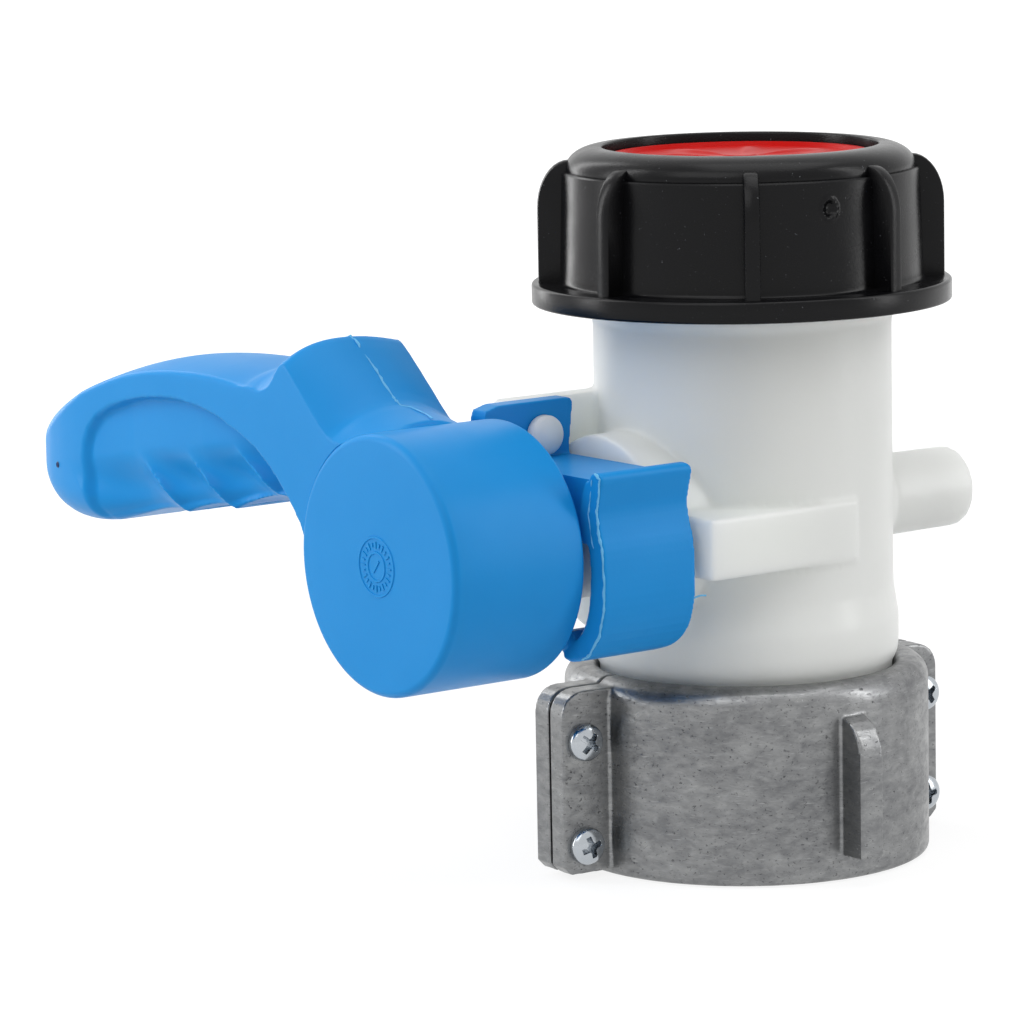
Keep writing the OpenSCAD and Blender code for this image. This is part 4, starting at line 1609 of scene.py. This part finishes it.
    def gate_dot(self) -> Draft:
        """Makes the small gate mark near the grip's end, dark with painted shade.

        Returns:
            The mesh in the making.
        """
        turn = self.at_grip() @ Matrix.Translation(Vector((-109.4, -12.75, 6.4))) @ placing(Axis.HUB)
        turn = turn @ Matrix.Rotation(math.radians(-14), 4, "Y")
        profile = [(0.0, 0.12), (0.3, 0.12), (0.46, 0.3), (0.62, 0.12), (0.7, -0.4), (0.0, -0.4)]
        return Draft("grip_gate").lathe(profile[::-1], turn, steps=20, closed=False)

    def build(self) -> None:
        """Makes the lever's pieces."""
        dress(self.body_skin(), BLUE_PP, self.body, "lever_handle")
        dress(self.hub(), BLUE_PP, self.body)
        dress(self.cover().piece(24.0), BLUE_PP, self.body, "hub_cap")
        dress(self.flash().piece(), BLUE_PP_FLASH, self.body)
        # The gate mark's dark colour is painted shade of its pit.
        dress(self.gate_dot().piece(), BLUE_PP_GATE_PAINTED_SHADE, self.body)


@dataclass
class Latch:
    """Blue safety latch on its pin."""

    body: str = "latch"
    voxel: float = 0.28
    rounds: int = 3
    stem_z: float = 64.0
    front_y: float = -54.3
    web_rear: float = 52.6
    web_front: float = 56.0
    edge: Outline = (
        (24.6, 16.2), (26.0, 15.4), (25.5, 12.0), (24.9, 9.0), (25.4, 5.6), (26.4, 2.4), (26.8, -3.0),
        (26.6, -8.1), (25.2, -13.0), (22.3, -16.9), (19.6, -18.3),
    )

    def flash(self) -> Draft:
        """Makes the ragged skin along the pad's front edge and a string at its far side.

        Returns:
            The mesh in the making.
        """
        draft = Draft("latch_flash")
        outer = [Vector((x - 0.25, self.front_y, z + self.stem_z)) for x, z in self.edge]
        path = rough_path(outer, steps=8, wander=0.14, seed=1.0)
        draft.sweep(path, [0.16 + 0.3 * abs(noise.noise(Vector((p.x, p.y, p.z * 0.9)))) for p in path])
        inner = [Vector((x - 2.6, self.front_y, z + self.stem_z - 0.3)) for x, z in self.edge[1:6]]
        path = rough_path(inner, steps=6, wander=0.25, seed=21.0)
        draft.sweep(path, [0.08 + 0.25 * abs(noise.noise(p * 0.8)) for p in path])
        start = Vector((25.6, -33.9, self.stem_z - 8.6))
        string = rough_line(start, start + Vector((1.2, 2.8, 0.4)), steps=8, wander=0.25, seed=9.0)
        return draft.sweep(string, [0.16] * len(string))

    def build(self) -> None:
        """Makes the latch with eased edges."""
        made = eased_copy("lock_latch", "latch_moulding", self.voxel, self.rounds)
        step = [(6.0, 3.0), (20.6, 3.0), (20.0, 8.6), (20.6, 12.0), (22.2, 15.5), (6.0, 15.5)]
        place = placing(Axis.HUB, (0, 0, self.stem_z))
        cut_away(made, Draft("web_step").prism(step, self.web_rear, self.web_front, place).piece())
        made.data.shade_smooth()
        made.data.set_sharp_from_angle(angle=math.radians(40))
        dress(made, BLUE_PP, self.body, "lock_latch")
        dress(self.flash().piece(), BLUE_PP_FLASH, self.body)


# Studio


@dataclass
class Studio:
    """Camera at the photograph's angle, soft lamps and a pale floor."""

    azimuth_deg: float = 53.22
    elevation_deg: float = 9.10
    roll_deg: float = -1.10
    depth_mm: float = 941.857
    focal_px: float = 5000.0
    frame_px: float = 1024.0
    aim_mm: tuple[float, float, float] = (0.0, 0.0, 69.3)
    aim_px: tuple[float, float] = (743.856, 486.571)
    sensor_mm: float = 36.0
    lamp_aim: tuple[float, float] = (0.0, -0.02)
    world_level: float = 0.38
    floor_half: float = 12.0
    floor_drop: float = 0.0002
    paper: float = 0.7
    white: float = 1.22
    shade_from: float = 0.12
    shade_to: float = 0.7
    shade_white: float = 0.7

    def camera(self) -> None:
        """Places the camera so that the aim point falls on its pixel."""
        a, e, roll = (math.radians(v) for v in (self.azimuth_deg, self.elevation_deg, self.roll_deg))
        ahead = Vector((-math.sin(a) * math.cos(e), math.cos(a) * math.cos(e), -math.sin(e)))
        right = ahead.cross(Vector((0, 0, 1))).normalized()
        up = right.cross(ahead)
        right, up = (
            math.cos(roll) * right + math.sin(roll) * up,
            math.cos(roll) * up - math.sin(roll) * right,
        )
        dx = (self.aim_px[0] - self.frame_px / 2) / self.focal_px * self.depth_mm
        dy = (self.frame_px / 2 - self.aim_px[1]) / self.focal_px * self.depth_mm
        eye = (Vector(self.aim_mm) - self.depth_mm * ahead - dx * right - dy * up) * MM
        data = bpy.data.cameras.new("camera")
        data.sensor_width = self.sensor_mm
        data.lens = self.focal_px / self.frame_px * self.sensor_mm
        data.clip_start, data.clip_end = 0.01, 20.0
        camera = bpy.data.objects.new("camera", data)
        turn = Matrix((right, up, -ahead)).transposed()
        camera.matrix_world = Matrix.Translation(eye) @ turn.to_4x4()
        bpy.context.scene.collection.objects.link(camera)
        bpy.context.scene.camera = camera

    def lamp(
        self,
        name: str,
        place: tuple[float, float, float],
        size: tuple[float, float],
        watts: float,
        aim_z: float = 0.07,
    ) -> None:
        """Adds one soft lamp aimed at the tap.

        Args:
            name: the lamp's name.
            place: its place in metres.
            size: its width and height in metres.
            watts: its power.
            aim_z: height that it is aimed at.
        """
        data = bpy.data.lights.new(name, "AREA")
        data.shape, data.size, data.size_y, data.energy = "RECTANGLE", size[0], size[1], watts
        made = bpy.data.objects.new(name, data)
        made.location = place
        towards = Vector((*self.lamp_aim, aim_z)) - Vector(place)
        made.rotation_euler = towards.to_track_quat("-Z", "Y").to_euler()
        bpy.context.scene.collection.objects.link(made)

    def seen(self, tree: Tree) -> Socket:
        """Marks light that goes straight, or by a mirror or glass, to the camera.

        Args:
            tree: the nodes that it is added to.

        Returns:
            1 for such light and 0 for the rest.
        """
        path = add_node(tree, "ShaderNodeLightPath")
        found = path.outputs["Is Camera Ray"]
        for ray in ("Is Glossy Ray", "Is Transmission Ray"):
            found = add_node(
                tree, "ShaderNodeMath", {"operation": "MAXIMUM"}, {0: found, 1: path.outputs[ray]}
            ).outputs[0]
        return found

    def world(self) -> None:
        """Lights the world: white to the camera and in reflections, softer as a lamp."""
        world = bpy.data.worlds.new("studio")
        bpy.context.scene.world = world
        world.use_nodes = True
        tree = world.node_tree
        tree.nodes.clear()
        strength = add_node(
            tree,
            "ShaderNodeMapRange",
            inputs={"Value": self.seen(tree), "To Min": self.world_level, "To Max": 1.0},
        )
        light = add_node(
            tree,
            "ShaderNodeBackground",
            inputs={"Color": (1, 1, 1, 1), "Strength": strength.outputs["Result"]},
        )
        add_node(tree, "ShaderNodeOutputWorld", inputs={"Surface": light.outputs[0]})

    def floor(self) -> None:
        """Lays the pale floor, white to the camera but for the tap's shadow."""
        mesh = bpy.data.meshes.new("floor")
        half = self.floor_half
        mesh.from_pydata(
            [(-half, -half, 0), (half, -half, 0), (half, half, 0), (-half, half, 0)], [], [(0, 1, 2, 3)]
        )
        made = bpy.data.objects.new("floor", mesh)
        made.location.z = -self.floor_drop
        bpy.context.scene.collection.objects.link(made)
        finish = bpy.data.materials.new("studio_floor")
        finish.use_nodes = True
        tree = finish.node_tree
        tree.nodes.clear()
        where = add_node(tree, "ShaderNodeTexCoord").outputs["Object"]
        away = add_node(tree, "ShaderNodeVectorMath", {"operation": "LENGTH"}, {0: where})
        far = add_node(
            tree,
            "ShaderNodeMapRange",
            {"interpolation_type": "SMOOTHSTEP"},
            {
                "Value": away.outputs["Value"],
                "From Min": self.shade_from,
                "From Max": self.shade_to,
                "To Min": self.shade_white,
                "To Max": 1.0,
            },
        )
        share = add_node(
            tree, "ShaderNodeMath", {"operation": "MULTIPLY"}, {0: self.seen(tree), 1: far.outputs["Result"]}
        )
        paper = add_node(tree, "ShaderNodeBsdfDiffuse", inputs={"Color": (*[self.paper] * 3, 1)})
        white = add_node(tree, "ShaderNodeEmission", inputs={"Color": (1, 1, 1, 1), "Strength": self.white})
        both = add_node(
            tree,
            "ShaderNodeMixShader",
            inputs={0: share.outputs[0], 1: paper.outputs[0], 2: white.outputs[0]},
        )
        add_node(tree, "ShaderNodeOutputMaterial", inputs={"Surface": both.outputs[0]})
        mesh.materials.append(finish)

    def build(self) -> None:
        """Sets up the whole studio."""
        bpy.context.scene.view_settings.view_transform = "Standard"
        self.camera()
        self.world()
        self.floor()
        self.lamp("key", (-0.46, -0.58, 0.42), (0.17, 0.8), watts=2.9, aim_z=0.28)
        self.lamp("side", (0.52, 0.5, 0.42), (0.15, 0.8), watts=2.1, aim_z=0.28)
        self.lamp("front", (0.4, -0.9, 1.0), (1.0, 0.8), watts=4.2)
        self.lamp("rim", (-0.72, -0.05, 0.42), (0.12, 0.8), watts=1.3, aim_z=0.28)
        self.lamp("top", (0.1, 0.1, 1.1), (0.8, 0.8), watts=3.0)


def main() -> None:
    """Builds the tap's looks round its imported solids."""
    logging.basicConfig(level=logging.INFO, format="%(name)s: %(message)s")
    noise.seed_set(FLASH_SEED)
    FRAME.update(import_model())
    for assembly in (FlowTube(), ShutOff(), ClampRing(), ScrewCap(), Lever(), Latch(), Studio()):
        assembly.build()
        LOG.info("%s is built", type(assembly).__name__)


if __name__ == "__main__":
    main()
